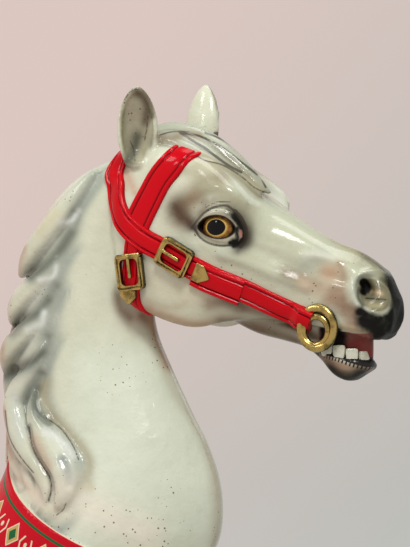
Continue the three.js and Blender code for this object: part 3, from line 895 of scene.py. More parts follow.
    def open_eyes(self, item: Object) -> None:
        """Cuts the almond openings through the lids."""
        outline = closed_curve(self.eye.opening, 64)
        middle = outline.mean(0)
        for side in Side:
            rings = []
            for y, grow in ((40, 0.9), (66, 0.94), (78, 1.0), (100, 1.12)):
                x, z = (middle + (outline - middle) * grow).T
                rings.append(np.stack([x, np.full(len(x), y * side.value), z], 1))
            tool = shell("lid_cutter", np.array(rings))
            apply_modifier(item, "BOOLEAN", operation="DIFFERENCE", object=tool, solver="EXACT")
            bpy.data.objects.remove(tool)

    def cut_base(self, item: Object) -> None:
        """Cuts the shoulders flat at the height of the floor."""
        choose(item)
        with editing():
            bpy.ops.mesh.bisect(plane_co=(0, 0, 0), plane_no=(0, 0, 1), use_fill=True, clear_inner=True)

    def thin(self, item: Object) -> None:
        """Takes facets out where the skin is flat, down to the piece's limit."""
        item.data.calc_loop_triangles()
        ratio = self.triangles / len(item.data.loop_triangles)
        if ratio < 1:
            apply_modifier(item, "DECIMATE", ratio=ratio)

    def paint(self, item: Object) -> None:
        """Lays the washes of colour and the outlines that the enamel follows."""
        clay = Clay(item)
        brush = Airbrush(clay)
        brush.ground()
        brush.mane(self.hair)
        for side in Side:
            brush.lids(self.eye, side)
            brush.face(side)
        brush.mouth(self._on_form(clay, self.jaw.shells()[1], clay.co[:, 0] > 380))
        brush.muzzle()
        for ear in self.ears:
            brush.ear(ear)
        clay.paint("wash", *brush.colour.T)
        clay.paint("smoke", brush.smoke)
        clay.paint("line", brush.line)
        self._paint_outlines(clay)

    @staticmethod
    def _on_form(clay: Clay, rings: Array, among: Array, low: float = 1.8, high: float = 4.0) -> Array:
        """1 for the vertices that lie on a form's surface.

        Args:
            clay: the moulding's vertices.
            rings: the form's rings.
            among: which vertices to look at.
            low: how far off the surface still counts as 1.
            high: how far off counts as 0.

        Returns:
            A value from 0 to 1 for each vertex.
        """
        item = shell("form", rings)
        surface = Skin(item)
        on = np.zeros(len(clay.co))
        for i in np.flatnonzero(among):
            spot, _ = surface.nearest(clay.co[i])
            on[i] = 1 - step(math.dist(spot, clay.co[i]), low, high)
        bpy.data.objects.remove(item)
        return on

    def _paint_outlines(self, clay: Clay) -> None:
        """Stores the distances from the lids, the gums and the trapping's edge."""
        away = np.full(len(clay.co), FAR)
        for side in Side:
            close, spots = clay.lid_spots(self.eye, side, (70, 60), 45)
            away[close] = loop_distance(spots, closed_curve(self.eye.opening))
        clay.paint("lid", away)
        gums = catmull(self.gum_line, 60)
        flat = np.abs(clay.co * (0, 1, 0)) + clay.co * (1, 0, 1)
        distance, share = path_distance(flat, gums)
        level = np.interp(flat[:, 0], gums[:, 0], gums[:, 2])
        clay.paint("gum", level - flat[:, 2])
        clay.paint("gum_near", 1 - step(distance, 15, 20))
        clay.paint("gum_along", share * path_length(gums))
        behind, along = self.trapping_frame(clay)
        among = (behind > -8) & (clay.co[:, 2] < self.crossing)
        grown = Neck(np.array(self.neck.levels) + np.array([0, -1, 1, 1]) * self.trapping_relief)
        on = np.maximum(*(self._on_form(clay, neck.rings(), among) for neck in (self.neck, grown)))
        clay.paint("behind", behind - self.hair_gap * (1 - on))
        clay.paint("along", along)

    def build(self) -> Object:
        """Makes, works and paints the moulding."""
        item = self.gather()
        self.sculpt(item)
        self.cut_base(item)
        self.thin(item)
        self.open_eyes(item)
        smooth_shade(item, 60)
        self.paint(item)
        return item


# ---------------------------------------------------------------- what is drawn from the front quarter

# Brushwork is laid as a painter faces the horse, a quarter turn from its nose: each place is its
# distance across that view and its height, in mm. Washes hold a line, a reach, a colour and a
# strength; smokes a line, a reach and a strength; strokes a line and half their width.

FACE_WASHES: Sequence[Wash] = [
    ([(200, 534), (184, 524), (168, 511), (154, 500), (147, 486)], 18, (0.21, 0.14, 0.075), 0.9),
    ([(142, 496), (148, 485), (160, 474)], 15, (0.075, 0.042, 0.022), 1.0),
    # Painted shade in the crease above the upper lid.
    ([(182, 502), (203, 506), (219, 500)], 7, (0.171, 0.128, 0.083), 0.6),
    # Painted highlight over that crease.
    ([(189, 510), (203, 512), (215, 507)], 5, (0.705, 0.719, 0.611), 0.5),
    ([(222, 495), (235, 481), (242, 463), (240, 447), (226, 438)], 9, (0.03, 0.02, 0.012), 1.0),
    ([(164, 467), (169, 468)], 5, (0.019, 0.012, 0.009), 0.9),
    ([(203, 432), (219, 437)], 8, (0.468, 0.496, 0.415), 0.5),
    ([(371, 454), (393, 433), (413, 425), (424, 414)], 16, (0.33, 0.31, 0.18), 0.9),
    ([(408, 428), (424, 421), (436, 408), (440, 392)], 13, (0.10, 0.092, 0.052), 0.95),
    ([(382, 330), (399, 326), (419, 319)], 8, (0.196, 0.165, 0.116), 0.9),
    # Painted shade in the hollow under the ridge on the side of the nose.
    ([(307, 398), (326, 414), (340, 426)], 14, (0.36, 0.39, 0.31), 0.7),
    ([(293, 405), (307, 399), (323, 391), (337, 386)], 10, (0.238, 0.177, 0.111), 0.9),
    ([(360, 381), (368, 372), (371, 361), (385, 353), (391, 339)], 10, (0.171, 0.083, 0.048), 0.95),
    ([(357, 372), (349, 367)], 9, (0.342, 0.238, 0.142), 0.8),
    # Painted highlight along that ridge.
    ([(318, 428), (337, 431), (357, 426)], 6, (0.691, 0.712, 0.624), 0.5),
    ([(318, 389), (337, 381), (357, 375)], 14, (0.555, 0.436, 0.311), 0.7),
    ([(357, 372), (371, 356), (382, 339)], 13, (0.277, 0.165, 0.104), 0.8),
    ([(351, 405), (357, 405)], 14, (0.502, 0.311, 0.196), 0.85),
    ([(367, 417), (372, 402), (370, 384)], 6, (0.32, 0.186, 0.111), 0.6),
    ([(368, 331), (393, 326), (413, 319)], 5, (0.468, 0.342, 0.203), 0.9),
    ([(344, 289), (357, 276), (374, 268), (392, 269)], 11, (0.20, 0.11, 0.065), 0.95),
    ([(335, 298), (357, 285), (378, 277)], 5, (0.42, 0.31, 0.21), 0.9),
    ([(350, 271), (366, 259), (385, 257), (402, 264)], 13, (0.022, 0.011, 0.006), 1.0),
    ([(393, 265), (413, 272), (420, 280)], 6, (0.056, 0.029, 0.018), 0.9),
    ([(309, 302), (326, 295), (337, 284)], 7, (0.177, 0.069, 0.031), 0.85),
    # These two: painted shade on the throat either side of the throat strap, under the jaw.
    ([(95, 344), (108, 333), (116, 322)], 9, (0.22, 0.104, 0.053), 0.85),
    ([(59, 372), (64, 356), (77, 343)], 8, (0.238, 0.156, 0.093), 0.7),
    ([(116, 342), (139, 333), (161, 329), (186, 333)], 7, (0.513, 0.328, 0.21), 0.75),
    # Painted shade in a fold of the cheek.
    ([(102, 367), (119, 360), (141, 356), (155, 363)], 5, (0.457, 0.405, 0.285), 0.55),
    # These four: painted shade below the cheek strap and along the underside of the jaw.
    ([(188, 362), (209, 366), (232, 359)], 12, (0.10, 0.058, 0.034), 0.9),
    ([(205, 334), (259, 326), (308, 309), (343, 276)], 12, (0.11, 0.052, 0.026), 1.0),
    ([(232, 358), (272, 346), (309, 330), (338, 314)], 9, (0.16, 0.09, 0.05), 0.85),
    ([(119, 349), (161, 335), (203, 332)], 6, (0.405, 0.257, 0.165), 0.6),
    ([(105, 353), (120, 314), (130, 276)], 8, (0.441, 0.224, 0.131), 0.65),
    ([(52, 570), (63, 542), (70, 521)], 6, (0.502, 0.285, 0.183), 0.6),
    ([(182, 528), (203, 517), (226, 507)], 14, (0.395, 0.425, 0.302), 0.75),
    ([(175, 488), (182, 493)], 6, (0.142, 0.097, 0.056), 0.6),
    ([(217, 502), (231, 493), (243, 474)], 9, (0.277, 0.269, 0.186), 0.5),
    ([(120, 593), (135, 591), (152, 596), (173, 595)], 7, (0.231, 0.165, 0.097), 0.85),
    ([(72, 546), (78, 532), (85, 517)], 6, (0.555, 0.311, 0.217), 0.8),
    ([(175, 566), (203, 552), (236, 534), (257, 520)], 9, (0.356, 0.328, 0.21), 0.8),
    ([(155, 546), (175, 555), (194, 550)], 9, (0.415, 0.39, 0.257), 0.6),
    ([(105, 332), (136, 248), (178, 178), (197, 108), (196, 27)], 9, (0.39, 0.32, 0.22), 0.45),
    ([(172, 542), (203, 517), (245, 493)], 12, (0.365, 0.32, 0.203), 0.5),
    # Painted highlight: a reflection low on the neck.
    ([(-14, 101), (35, 73), (98, 45)], 30, (0.815, 0.777, 0.651), 0.9),
    ([(215, 488), (229, 479), (236, 467)], 6, (0.041, 0.024, 0.013), 0.9),
]
FACE_SMOKES: Sequence[tuple[Flat, float, float]] = [
    ([(222, 483), (232, 469), (236, 458), (232, 447), (222, 443)], 6, 1.5),
    ([(226, 465), (226, 451), (217, 446)], 5, 1.3),
    ([(395, 351), (407, 343), (421, 340), (435, 344), (443, 355)], 11, 1.2),
    ([(403, 339), (419, 333), (435, 331)], 20, 1.3),
    ([(442, 332), (449, 347), (454, 361), (454, 378), (451, 389)], 20, 1.6),
    ([(447, 398), (441, 407), (433, 412)], 15, 0.55),
    ([(421, 321), (435, 319), (449, 325)], 17, 1.4),
    ([(405, 330), (416, 323), (424, 316)], 12, 1.0),
    ([(410, 325), (421, 319)], 10, 0.7),
    ([(364, 325), (360, 316), (358, 305)], 7, 1.5),
    ([(353, 272), (365, 259), (385, 257), (398, 265)], 17, 0.85),
]
FACE_STROKES: Sequence[tuple[Flat, float]] = [
    ([(164, 467), (173, 479), (183, 489), (198, 496), (212, 497), (223, 490)], 1.1),
    ([(223, 490), (232, 479), (238, 465), (238, 451), (231, 441)], 2.4),
    ([(168, 465), (175, 454), (187, 446), (203, 442), (219, 443)], 1.0),
    ([(182, 495), (198, 502), (217, 502)], 0.25),
    ([(403, 370), (416, 369), (430, 368)], 0.5),
    ([(170, 567), (182, 560), (203, 555), (222, 545), (236, 535), (250, 523), (266, 515)], 0.4),
    ([(147, 600), (166, 587), (184, 576), (198, 565), (215, 553), (232, 544)], 1.3),
    ([(152, 599), (175, 594), (198, 583), (217, 570), (236, 555), (254, 541)], 1.0),
    ([(182, 599), (205, 590), (229, 574), (245, 558), (257, 542), (266, 523)], 0.8),
    ([(119, 596), (133, 600), (147, 601), (159, 600)], 0.4),
]
LID_SPOT: Flat = [(231, 462), (231, 455)]
NOSTRIL_RIM: Flat = [(411, 403), (395, 399), (385, 390), (384, 374), (389, 363)]
NOSTRIL_FRONT: Flat = [(433, 398), (441, 384), (443, 370), (440, 354)]
NOSTRIL_FOLD: Flat = [(393, 381), (398, 393), (410, 398), (421, 393), (433, 384), (437, 370),
     (433, 357), (421, 351), (407, 353), (398, 361)]
NOSTRIL_HOLE: Flat = [(400, 391), (404, 384), (401, 380)]
NOSTRIL_WASHES: Sequence[Wash] = [
    ([(393, 384), (392, 372), (398, 360)], 3, (0.056, 0.064, 0.053), 0.9),
    ([(412, 380), (424, 376)], 3.5, (0.502, 0.365, 0.224), 0.85),
    ([(409, 361), (424, 359)], 4, (0.405, 0.375, 0.21), 0.7),
    ([(424, 396), (434, 388), (439, 375), (438, 361)], 5, (0.104, 0.093, 0.038), 0.85),
]
EAR_X = 126  # where the drawn ear stands
EAR_HOLLOW: Flat = [(70, 647), (79, 659), (91, 660), (101, 651), (106, 635), (108, 621), (105, 605),
     (103, 584), (98, 565), (88, 554), (79, 555), (70, 567), (66, 588), (64, 612), (65, 630)]
EAR_WASHES: Sequence[Wash] = [
    ([(88, 656), (97, 647), (102, 633), (99, 614)], 8, (0.104, 0.077, 0.044), 0.9),
    ([(79, 640), (83, 616), (85, 602)], 7, (0.405, 0.375, 0.277), 0.55),
    ([(70, 556), (79, 565), (85, 579), (88, 593)], 10, (0.059, 0.059, 0.036), 0.95),
    ([(70, 626), (70, 602), (72, 579)], 4, (0.277, 0.277, 0.171), 0.7),
    ([(96, 660), (103, 649), (108, 635), (110, 621)], 4, (0.128, 0.097, 0.059), 0.9),
    ([(105, 602), (98, 581), (91, 560)], 6, (0.441, 0.415, 0.277), 0.7),
]
EAR_STROKES: Sequence[tuple[Flat, float]] = [
    ([(70, 644), (79, 656), (89, 660)], 0.3),
    ([(85, 560), (82, 579), (78, 588)], 0.3),
    ([(98, 588), (101, 605), (103, 623)], 0.35),
]
MANE_GROOVES: Sequence[Flat] = [
    [(33, 538), (16, 509), (2, 486), (-5, 460), (-21, 435), (-42, 414), (-61, 400)],
    [(-21, 409), (-26, 384), (-37, 365), (-52, 349), (-72, 337), (-89, 323)],
    [(-37, 349), (-38, 314), (-44, 293), (-59, 280), (-80, 270), (-98, 260)],
    [(-45, 263), (-50, 244), (-55, 227), (-49, 210), (-35, 199)],
]
MANE_SPLIT: Flat = [(-63, 190), (-57, 161), (-45, 139), (-34, 122), (-31, 106), (-35, 88)]
MANE_HOLLOW: Flat = [(-15, 146), (-8, 129), (-6, 112)]
MANE_WASHES: Sequence[Wash] = [
    ([(-49, 465), (-30, 486)], 12, (0.637, 0.573, 0.375), 0.6),
    ([(-72, 440), (-80, 416), (-82, 395)], 6, (0.468, 0.298, 0.203), 0.75),
    # These three: painted highlights on the locks.
    ([(5, 490), (-5, 478), (-18, 475)], 5, (0.705, 0.741, 0.705), 0.9),
    ([(-25, 413), (-30, 400), (-49, 395)], 4, (0.684, 0.734, 0.691), 0.8),
    ([(-42, 349), (-46, 335), (-66, 325)], 5, (0.684, 0.734, 0.691), 0.8),
    ([(-94, 377), (-101, 353), (-94, 325)], 6, (0.468, 0.298, 0.203), 0.75),
    ([(-102, 311), (-104, 283)], 6, (0.468, 0.298, 0.203), 0.75),
    ([(-101, 216), (-97, 179), (-88, 146)], 5, (0.457, 0.238, 0.165), 0.75),
    # Painted highlight on the long lock.
    ([(-83, 232), (-80, 207), (-74, 179)], 10, (0.561, 0.599, 0.567), 0.6),
    ([(-55, 176), (-46, 157), (-35, 137)], 8, (0.624, 0.468, 0.347), 0.7),
    # Painted shade in the lowest lock's hollow, then a painted highlight on its rim.
    (MANE_HOLLOW, 8.5, (0.277, 0.32, 0.311), 0.9),
    ([(-41, 185), (-21, 174), (-1, 151)], 6, (0.734, 0.763, 0.734), 0.7),
    # Painted shade cast on the neck beside the lowest lock.
    ([(-39, 252), (-42, 232), (-31, 207), (-11, 188), (8, 168), (22, 143),
      (18, 118)], 8, (0.375, 0.347, 0.224), 0.75),
    ([(-1, 97), (13, 108), (27, 109)], 5, (0.468, 0.415, 0.203), 0.7),
    ([(-88, 143), (-71, 115), (-49, 90)], 12, (0.664, 0.543, 0.436), 0.6),
]
MANE_STROKES: Sequence[tuple[Flat, float]] = [
    ([(-38, 203), (-18, 188), (-1, 165), (7, 146)], 0.35),
    ([(-10, 87), (-15, 76), (-24, 69)], 0.3),
    # A dark line in the groove between the lowest locks: painted shade.
    (MANE_SPLIT, 0.6),
    ([(-97, 213), (-91, 176), (-74, 148), (-56, 127)], 0.4),
]


class Airbrush:
    """The washes of colour laid over the cream ground, vertex by vertex, painted shade and highlights among
    them.
    """

    CREAM = (0.64, 0.665, 0.52)
    WARM = (0.66, 0.53, 0.38)
    PINK = (0.50, 0.34, 0.23)
    SAGE = (0.42, 0.44, 0.31)
    # Slate, laid as painted shade.
    SLATE_SHADE = (0.24, 0.29, 0.27)
    SHADE = (0.07, 0.07, 0.05)
    # Brown, laid as painted shade under the jaw and at the throat, and as the forelock's strand lines.
    BROWN = (0.15, 0.095, 0.055)
    # A pale tone, laid as painted light on the locks' upper sides.
    LIT_PALE = (0.66, 0.67, 0.57)
    FLESH = (0.36, 0.23, 0.15)
    MAROON = (0.22, 0.008, 0.006)
    CELADON = (0.69, 0.745, 0.61)
    LID = (0.40, 0.375, 0.28)
    LID_PINK = (0.40, 0.07, 0.07)
    CHIN = (0.07, 0.04, 0.024)
    RIM = (0.52, 0.55, 0.46)
    FOLD = (0.17, 0.15, 0.085)
    EAR = (0.38, 0.355, 0.25)
    # A dark tone, laid as painted shade in the groove between the lowest locks.
    GROOVE_SHADE = (0.12, 0.13, 0.10)
    FORELOCK = (0.28, 0.295, 0.23)
    FORELOCK_SHADE = (0.16, 0.17, 0.13)

    def __init__(self, clay: Clay) -> None:
        """Starts with the plain ground."""
        self.clay = clay
        self.colour = np.tile(self.CREAM, (len(clay.co), 1))
        self.smoke = np.zeros(len(clay.co))
        # How deep each vertex lies in a hollow, finely and broadly: the masks for painted shade in hollows.
        self.fine = clay.soften(clay.hollowness(7), 2)
        self.broad = clay.hollowness(26)
        self.line = np.full(len(clay.co), FAR)

    def across(self, lock: Lock) -> tuple[Array, Array]:
        """Where vertices lie beside a lock of hair.

        Args:
            lock: the lock.

        Returns:
            A mask round the lock, and how far each vertex lies on its lower side, from -1 to 1.
        """
        line = catmull(lock.path, 60)
        co = self.clay.co
        reach = lock.half * 1.7
        mask, below = np.zeros(len(co)), np.zeros(len(co))
        found = np.flatnonzero(((co > line.min(0) - reach) & (co < line.max(0) + reach)).all(1))
        if len(found):
            gap = co[found, None] - line[None]
            squares = (gap**2).sum(2)
            away = gap[np.arange(len(found)), squares.argmin(1)]
            mask[found] = 1 - step(np.sqrt(squares.min(1)), lock.half, reach)
            below[found] = (away * (0.45, 0.0, -0.89)).sum(1) / lock.half
        return mask, below

    def lay(self, washes: Sequence[Wash], side: Side, shift: float = 0.0) -> None:
        """Lays a table of washes on one side."""
        for line, radius, colour, strength in washes:
            self.wash(self.clay.seen(line, radius * 1.4, side, shift), colour, strength)

    def draw(self, strokes: Sequence[tuple[Flat, float]], side: Side, shift: float = 0.0) -> None:
        """Adds a table of thin dark strokes on one side."""
        for line, half in strokes:
            self.line = np.minimum(self.line, self.clay.from_line(line, side, shift) - half)

    def wash(self, mask: Array, colour: Colour, strength: float = 1.0) -> None:
        """Blends a colour over the paint below where the mask is 1."""
        share = np.clip(mask * strength, 0, 1)[:, None]
        self.colour = self.colour * (1 - share) + colour * share

    def darken(self, mask: Array, strength: float = 1.0) -> None:
        """Adds black smoke where the mask is 1."""
        self.smoke = np.maximum(self.smoke, np.clip(mask * strength, 0, 1))

    def ground(self) -> None:
        """Warms the underside of the jaw with pink, lays painted shade in brown under the jaw and at the
        throat, in slate behind the jowl and in the head's fine hollows, and cools the head's upper side.
        """
        x, _, z = self.clay.co.T
        self.wash(step(x - 0.9 * (z - 560), 300, 400) * step(z, 300, 420), self.SAGE, 0.55)
        self.wash(step(x, 0, 60) * step(-z, -340, -270), self.CELADON)
        self.wash(self.clay.near([(250, 0, 552), (345, 0, 480), (447, 0, 431)], 46), self.SAGE, 0.5)
        # Pink under the cheek, then painted shade: brown under the jaw and at the throat, slate behind the
        # jowl.
        for side, (line, radius, colour, strength) in product(Side, (
            ([(150, 50, 352), (210, 46, 334), (262, 40, 338)], 26, self.PINK, 0.5),
            ([(262, 36, 330), (310, 36, 332), (352, 36, 334)], 18, self.BROWN, 0.75),
            ([(118, 50, 372), (146, 40, 346), (176, 24, 322)], 26, self.BROWN, 0.65),
            ([(116, 68, 440), (106, 66, 400), (110, 60, 360)], 20, self.SLATE_SHADE, 0.25),
        )):
            self.wash(self.clay.near(on_side(line, side), radius), colour, strength)
        # Painted shade in the head's fine hollows.
        self.wash(step(self.fine, 0.35, 1.4) * step(z, 320, 345), self.SHADE, 0.6)

    def mane(self, hair: Hair) -> None:
        """Paints shade on the hair in its hollows, grooves and lower sides, at its roots and where it lies
        along the neck, and paints light on the locks' upper sides.
        """
        near = self.clay.near
        border = [(60, 26, 556), (34, 46, 505), (18, 52, 452), (10, 56, 400), (4, 60, 340), (-6, 66, 290),
                  (-6, 78, 235), (12, 88, 195), (46, 98, 160), (68, 108, 130), (64, 112, 100)]
        # Painted shade on the neck along the mane's edge, where the locks overhang it.
        for side in Side:
            self.wash(near(on_side(border, side), 17), self.SLATE_SHADE, 0.55)
        hairy = np.zeros(len(self.clay.co))
        for lock in hair.mane:
            mask, below = self.across(lock)
            hairy = np.maximum(hairy, mask)
            # Painted shade on each lock's lower side, and painted light on its upper side.
            self.wash(mask * step(below, 0.2, 1.0), self.SLATE_SHADE, 0.75)
            self.wash(mask * step(-below, 0.1, 0.8), self.LIT_PALE, 0.6)
            # Painted shade at each lock's root, where it tucks under the locks above.
            self.wash(near(lock.path[:2], lock.half * 1.1), self.SLATE_SHADE, 0.25)
            self.wash(near(lock.path[-2:], lock.half), self.WARM, 0.5)
        # Painted shade in the hair's broad and fine hollows.
        self.wash(hairy * step(self.broad, 0.5, 2.6), self.SLATE_SHADE, 0.8)
        self.wash(hairy * step(self.fine, 0.2, 1.1), self.SHADE, 0.9)
        # Painted shade along the grooves between the locks, widest and palest first.
        for groove, (start, radius, colour, strength) in product(MANE_GROOVES, (
            (0, 17, (0.29, 0.325, 0.28), 0.65),
            (-5, 15, (0.20, 0.225, 0.19), 0.55),
            (-4, 11, (0.085, 0.10, 0.08), 0.85),
        )):
            self.wash(self.clay.seen(groove[start:], radius), colour, strength)
        # Painted shade in the groove between the lowest locks.
        self.wash(self.clay.seen(MANE_SPLIT, 6), self.GROOVE_SHADE, 0.8)
        self.lay(MANE_WASHES, Side.RIGHT)
        self.draw(MANE_STROKES, Side.RIGHT)
        top = np.max([near(lock.path, lock.half * 1.7) for lock in hair.fore], 0)
        self.wash(top, self.FORELOCK, 0.95)
        # The forelock's brown strand lines, laid in its grooves, where they also stand for the grooves'
        # shade.
        self.wash(top * step(self.fine, 0.02, 0.4), self.BROWN, 0.85)
        self.wash(top * step(self.broad, 0.1, 1.3), self.FORELOCK_SHADE, 0.7)

    def face(self, side: Side) -> None:
        """Smokes the temple, the eye and the cheek of one side, and lays the face's washes, painted shade and
        highlights among them.
        """
        self.lay(FACE_WASHES, side)
        for line, radius, strength in FACE_SMOKES:
            self.darken(self.clay.seen(line, radius * 1.15, side), strength)
        spot = self.clay.seen(LID_SPOT, 2.6, side)
        self.smoke *= 1 - spot
        self.wash(spot, self.LID_PINK)
        self.draw(FACE_STROKES, side)
        cheek = on_side([(150, 70, 400), (200, 71, 380), (240, 66, 372)], side)
        self.wash(self.clay.near(cheek, 36), self.WARM, 0.4)

    def lids(self, eye: EyePlace, side: Side) -> None:
        """Lightens the lids between the opening and the fold round it."""
        close, spots = self.clay.lid_spots(eye, side, (60, 50), 45)
        mask = np.zeros(len(self.clay.co))
        mask[close] = step(-loop_distance(spots, closed_curve(eye.fold)), 0, 2.0)
        self.wash(mask, self.LID, 0.95)

    def mouth(self, inside: Array) -> None:
        """Reddens the inside of the mouth, blackens its corners with painted shade and paints the lower lip.
        """
        near, (x, y, z) = self.clay.near, self.clay.co.T
        self.wash(near([(410, 0, 258), (444, 0, 262)], 34), self.CHIN)
        for side in Side:
            lip = on_side([(404, 31, 280), (430, 28, 275), (452, 17, 276), (463, 4, 277)], side)
            self.wash(near(lip, 6), self.FLESH, 0.8)
        roof = step(x, 396, 404) * step(-x, -478, -470) * (np.abs(y) < 34)
        roof *= step(-z, -330, -322) * step(z, 287, 292) * step(-self.clay.out[:, 2], 0.2, 0.6)
        cavity = np.maximum(inside * step(x, 384, 392), roof)
        self.wash(cavity, self.MAROON)
        # Painted shade: black at the back of the mouth, and the whole inside a little darker.
        self.darken(cavity * (1 - step(x, 420, 438)))
        self.darken(cavity, 0.3)

    def muzzle(self) -> None:
        """Blackens the nose and the nostrils."""
        self.darken(self.clay.near([(500, 0, 352), (500, 0, 368), (497, 0, 388)], 34), 1.5)
        self.darken(self.clay.near([(494, 0, 404), (480, 0, 418)], 30), 0.5)
        for side in Side:
            self.nostril(side)

    def nostril(self, side: Side) -> None:
        """Paints one nostril: a pale rim, an olive inner fold and a black hole."""
        flat, toward = self.clay.quarter(side)
        close = (toward > 0) & ((flat > (360, 330)) & (flat < (450, 430))).all(1)
        fold = self.clay.drawn_in(closed_curve(NOSTRIL_FOLD, 60), side, close, -1.0, 2.5)
        rim = self.clay.seen(NOSTRIL_RIM, 4.6, side)
        self.smoke *= 1 - np.maximum(rim, fold)
        self.wash(rim, self.RIM)
        self.wash(fold, self.FOLD, 0.95)
        self.lay(NOSTRIL_WASHES, side)
        self.darken(self.clay.seen(NOSTRIL_FRONT, 11, side), 0.85)
        self.darken(self.clay.seen(NOSTRIL_HOLE, 8.5, side), 2.0)

    def ear(self, ear: Ear) -> None:
        """Darkens an ear's hollow and leaves its rim cream."""
        side = Side.LEFT if ear.base[1] > 0 else Side.RIGHT
        shift = (ear.base[0] - EAR_X) * VIEW_COS
        flat, toward = self.clay.quarter(side)
        outline = closed_curve(np.array(EAR_HOLLOW) + (shift, 0), 70)
        close = (toward > -0.3) & ((flat > outline.min(0) - 5) & (flat < outline.max(0) + 5)).all(1)
        inside = self.clay.drawn_in(outline, side, close & (self.clay.co[:, 2] > 545), -1.5, 1.5)
        self.wash(inside, self.EAR, 0.95)
        self.lay(EAR_WASHES, side, shift)
        self.darken(inside, 0.22)
        self.draw(EAR_STROKES, side, shift)


# ---------------------------------------------------------------- finishes


class Wiring:
    """Short ways to add and join the nodes of a material or a shader group."""

    def __init__(self, tree: NodeTree) -> None:
        """Works on one node tree."""
        self.tree = tree

    def add(self, kind: str, inputs: dict[str | int, object] | None = None, **settings: object) -> Node:
        """Adds a node.

        Args:
            kind: the node's type, without its ShaderNode prefix.
            inputs: sockets to join, or values to set, by name or number.
            settings: the node's properties.

        Returns:
            The node.
        """
        made = self.tree.nodes.new(kind if kind.startswith("Node") else f"ShaderNode{kind}")
        for key, value in settings.items():
            setattr(made, key, value)
        for key, value in (inputs or {}).items():
            if isinstance(value, Socket):
                self.tree.links.new(value, made.inputs[key])
            else:
                made.inputs[key].default_value = value
        return made

    def math(self, operation: str, *values: object, clamp: bool = False) -> Socket:
        """The result of a Math node on up to three values or sockets."""
        return self.add("Math", dict(enumerate(values)), operation=operation, use_clamp=clamp).outputs[0]

    def plus(self, first: object, second: object) -> Socket:
        """The sum of two values."""
        return self.math("ADD", first, second)

    def minus(self, first: object, second: object) -> Socket:
        """The first value less the second."""
        return self.math("SUBTRACT", first, second)

    def times(self, first: object, second: object) -> Socket:
        """The product of two values."""
        return self.math("MULTIPLY", first, second)

    def gap(self, first: object, second: object) -> Socket:
        """How far apart two values are."""
        return self.math("ABSOLUTE", self.minus(first, second))

    def rise(self, value: object, low: float, high: float) -> Socket:
        """A smooth rise from 0 to 1 between two values."""
        inputs = {"Value": value, "From Min": low, "From Max": high}
        return self.add("MapRange", inputs, interpolation_type="SMOOTHSTEP").outputs["Result"]

    def fall(self, value: object, low: float, high: float) -> Socket:
        """A smooth fall from 1 to 0 between two values."""
        return self.minus(1.0, self.rise(value, low, high))

    def mix(self, share: object, first: Socket | Colour, second: Socket | Colour) -> Socket:
        """A blend of two colours."""
        under, over = (c if isinstance(c, Socket) else (*c, 1.0) for c in (first, second))
        return self.add("Mix", {0: share, 6: under, 7: over}, data_type="RGBA").outputs[2]

    def bump(self, height: Socket, strength: float, distance: float, **under: Socket) -> Socket:
        """A normal, raised by a height over the one beneath it."""
        inputs = {"Height": height, "Strength": strength, "Distance": distance, **under}
        return self.add("Bump", inputs).outputs["Normal"]

    def stored(self, name: str, output: str = "Fac") -> Socket:
        """A number, or a colour, stored on the mesh."""
        return self.add("Attribute", attribute_name=name).outputs[output]

    def place(self) -> Socket:
        """Object coordinates."""
        return self.add("TexCoord").outputs["Object"]

    def brushed(self, scale: float) -> Socket:
        """The uneven lay of the paint over the object."""
        return self.add("Group", {"Place": self.place(), "Scale": scale}, node_tree=brushwork()).outputs[0]


class Paintwork(Wiring):
    """A material in the making."""

    def __init__(self, name: str) -> None:
        """Starts an empty material."""
        self.material = bpy.data.materials.new(name)
        self.material.use_nodes = True
        super().__init__(self.material.node_tree)
        self.tree.nodes.clear()

    def finish(self, inputs: dict[str, object]) -> Material:
        """Joins a Principled shader with these inputs to the output, and gives the material."""
        shader = self.add("BsdfPrincipled", inputs)
        self.add("OutputMaterial", {"Surface": shader.outputs["BSDF"]})
        return self.material


def new_group(name: str, inputs: dict[str, float]) -> tuple[Wiring, dict[str, Socket], Socket]:
    """Starts a shader group that takes a place and numbers and gives one number.

    Args:
        name: the group's name.
        inputs: its number inputs and their values.

    Returns:
        The group's wiring, what it is given, by name, and the socket for its result.
    """
    tree = bpy.data.node_groups.new(name, "ShaderNodeTree")
    tree.interface.new_socket("Place", in_out="INPUT", socket_type="NodeSocketVector")
    for key, value in inputs.items():
        tree.interface.new_socket(key, in_out="INPUT", socket_type="NodeSocketFloat").default_value = value
    tree.interface.new_socket("Value", in_out="OUTPUT", socket_type="NodeSocketFloat")
    wire = Wiring(tree)
    given = {socket.name: socket for socket in wire.add("NodeGroupInput").outputs}
    return wire, given, wire.add("NodeGroupOutput").inputs["Value"]


@cache
def specks() -> NodeTree:
    """Small chips and specks of dirt in the paint."""
    wire, given, result = new_group("paint specks", {"Scale": 60, "Size": 0.12})
    dots = wire.add("TexVoronoi", {"Vector": given["Place"], "Scale": given["Scale"]})
    patches = wire.add("TexNoise", {"Vector": given["Place"], "Scale": 9, "Detail": 3})
    size = wire.times(given["Size"], wire.rise(patches.outputs["Fac"], 0.46, 0.66))
    wire.tree.links.new(wire.math("LESS_THAN", dots.outputs["Distance"], size), result)
    return wire.tree


@cache
def brushwork() -> NodeTree:
    """The uneven lay of gloss paint put on by brush, from about 0 to 1."""
    wire, given, result = new_group("brushed gloss", {"Scale": 16})
    lay = wire.add("TexNoise", {"Vector": given["Place"], "Scale": given["Scale"], "Detail": 4.0,
                                "Roughness": 0.6})
    wire.tree.links.new(lay.outputs["Fac"], result)
    return wire.tree


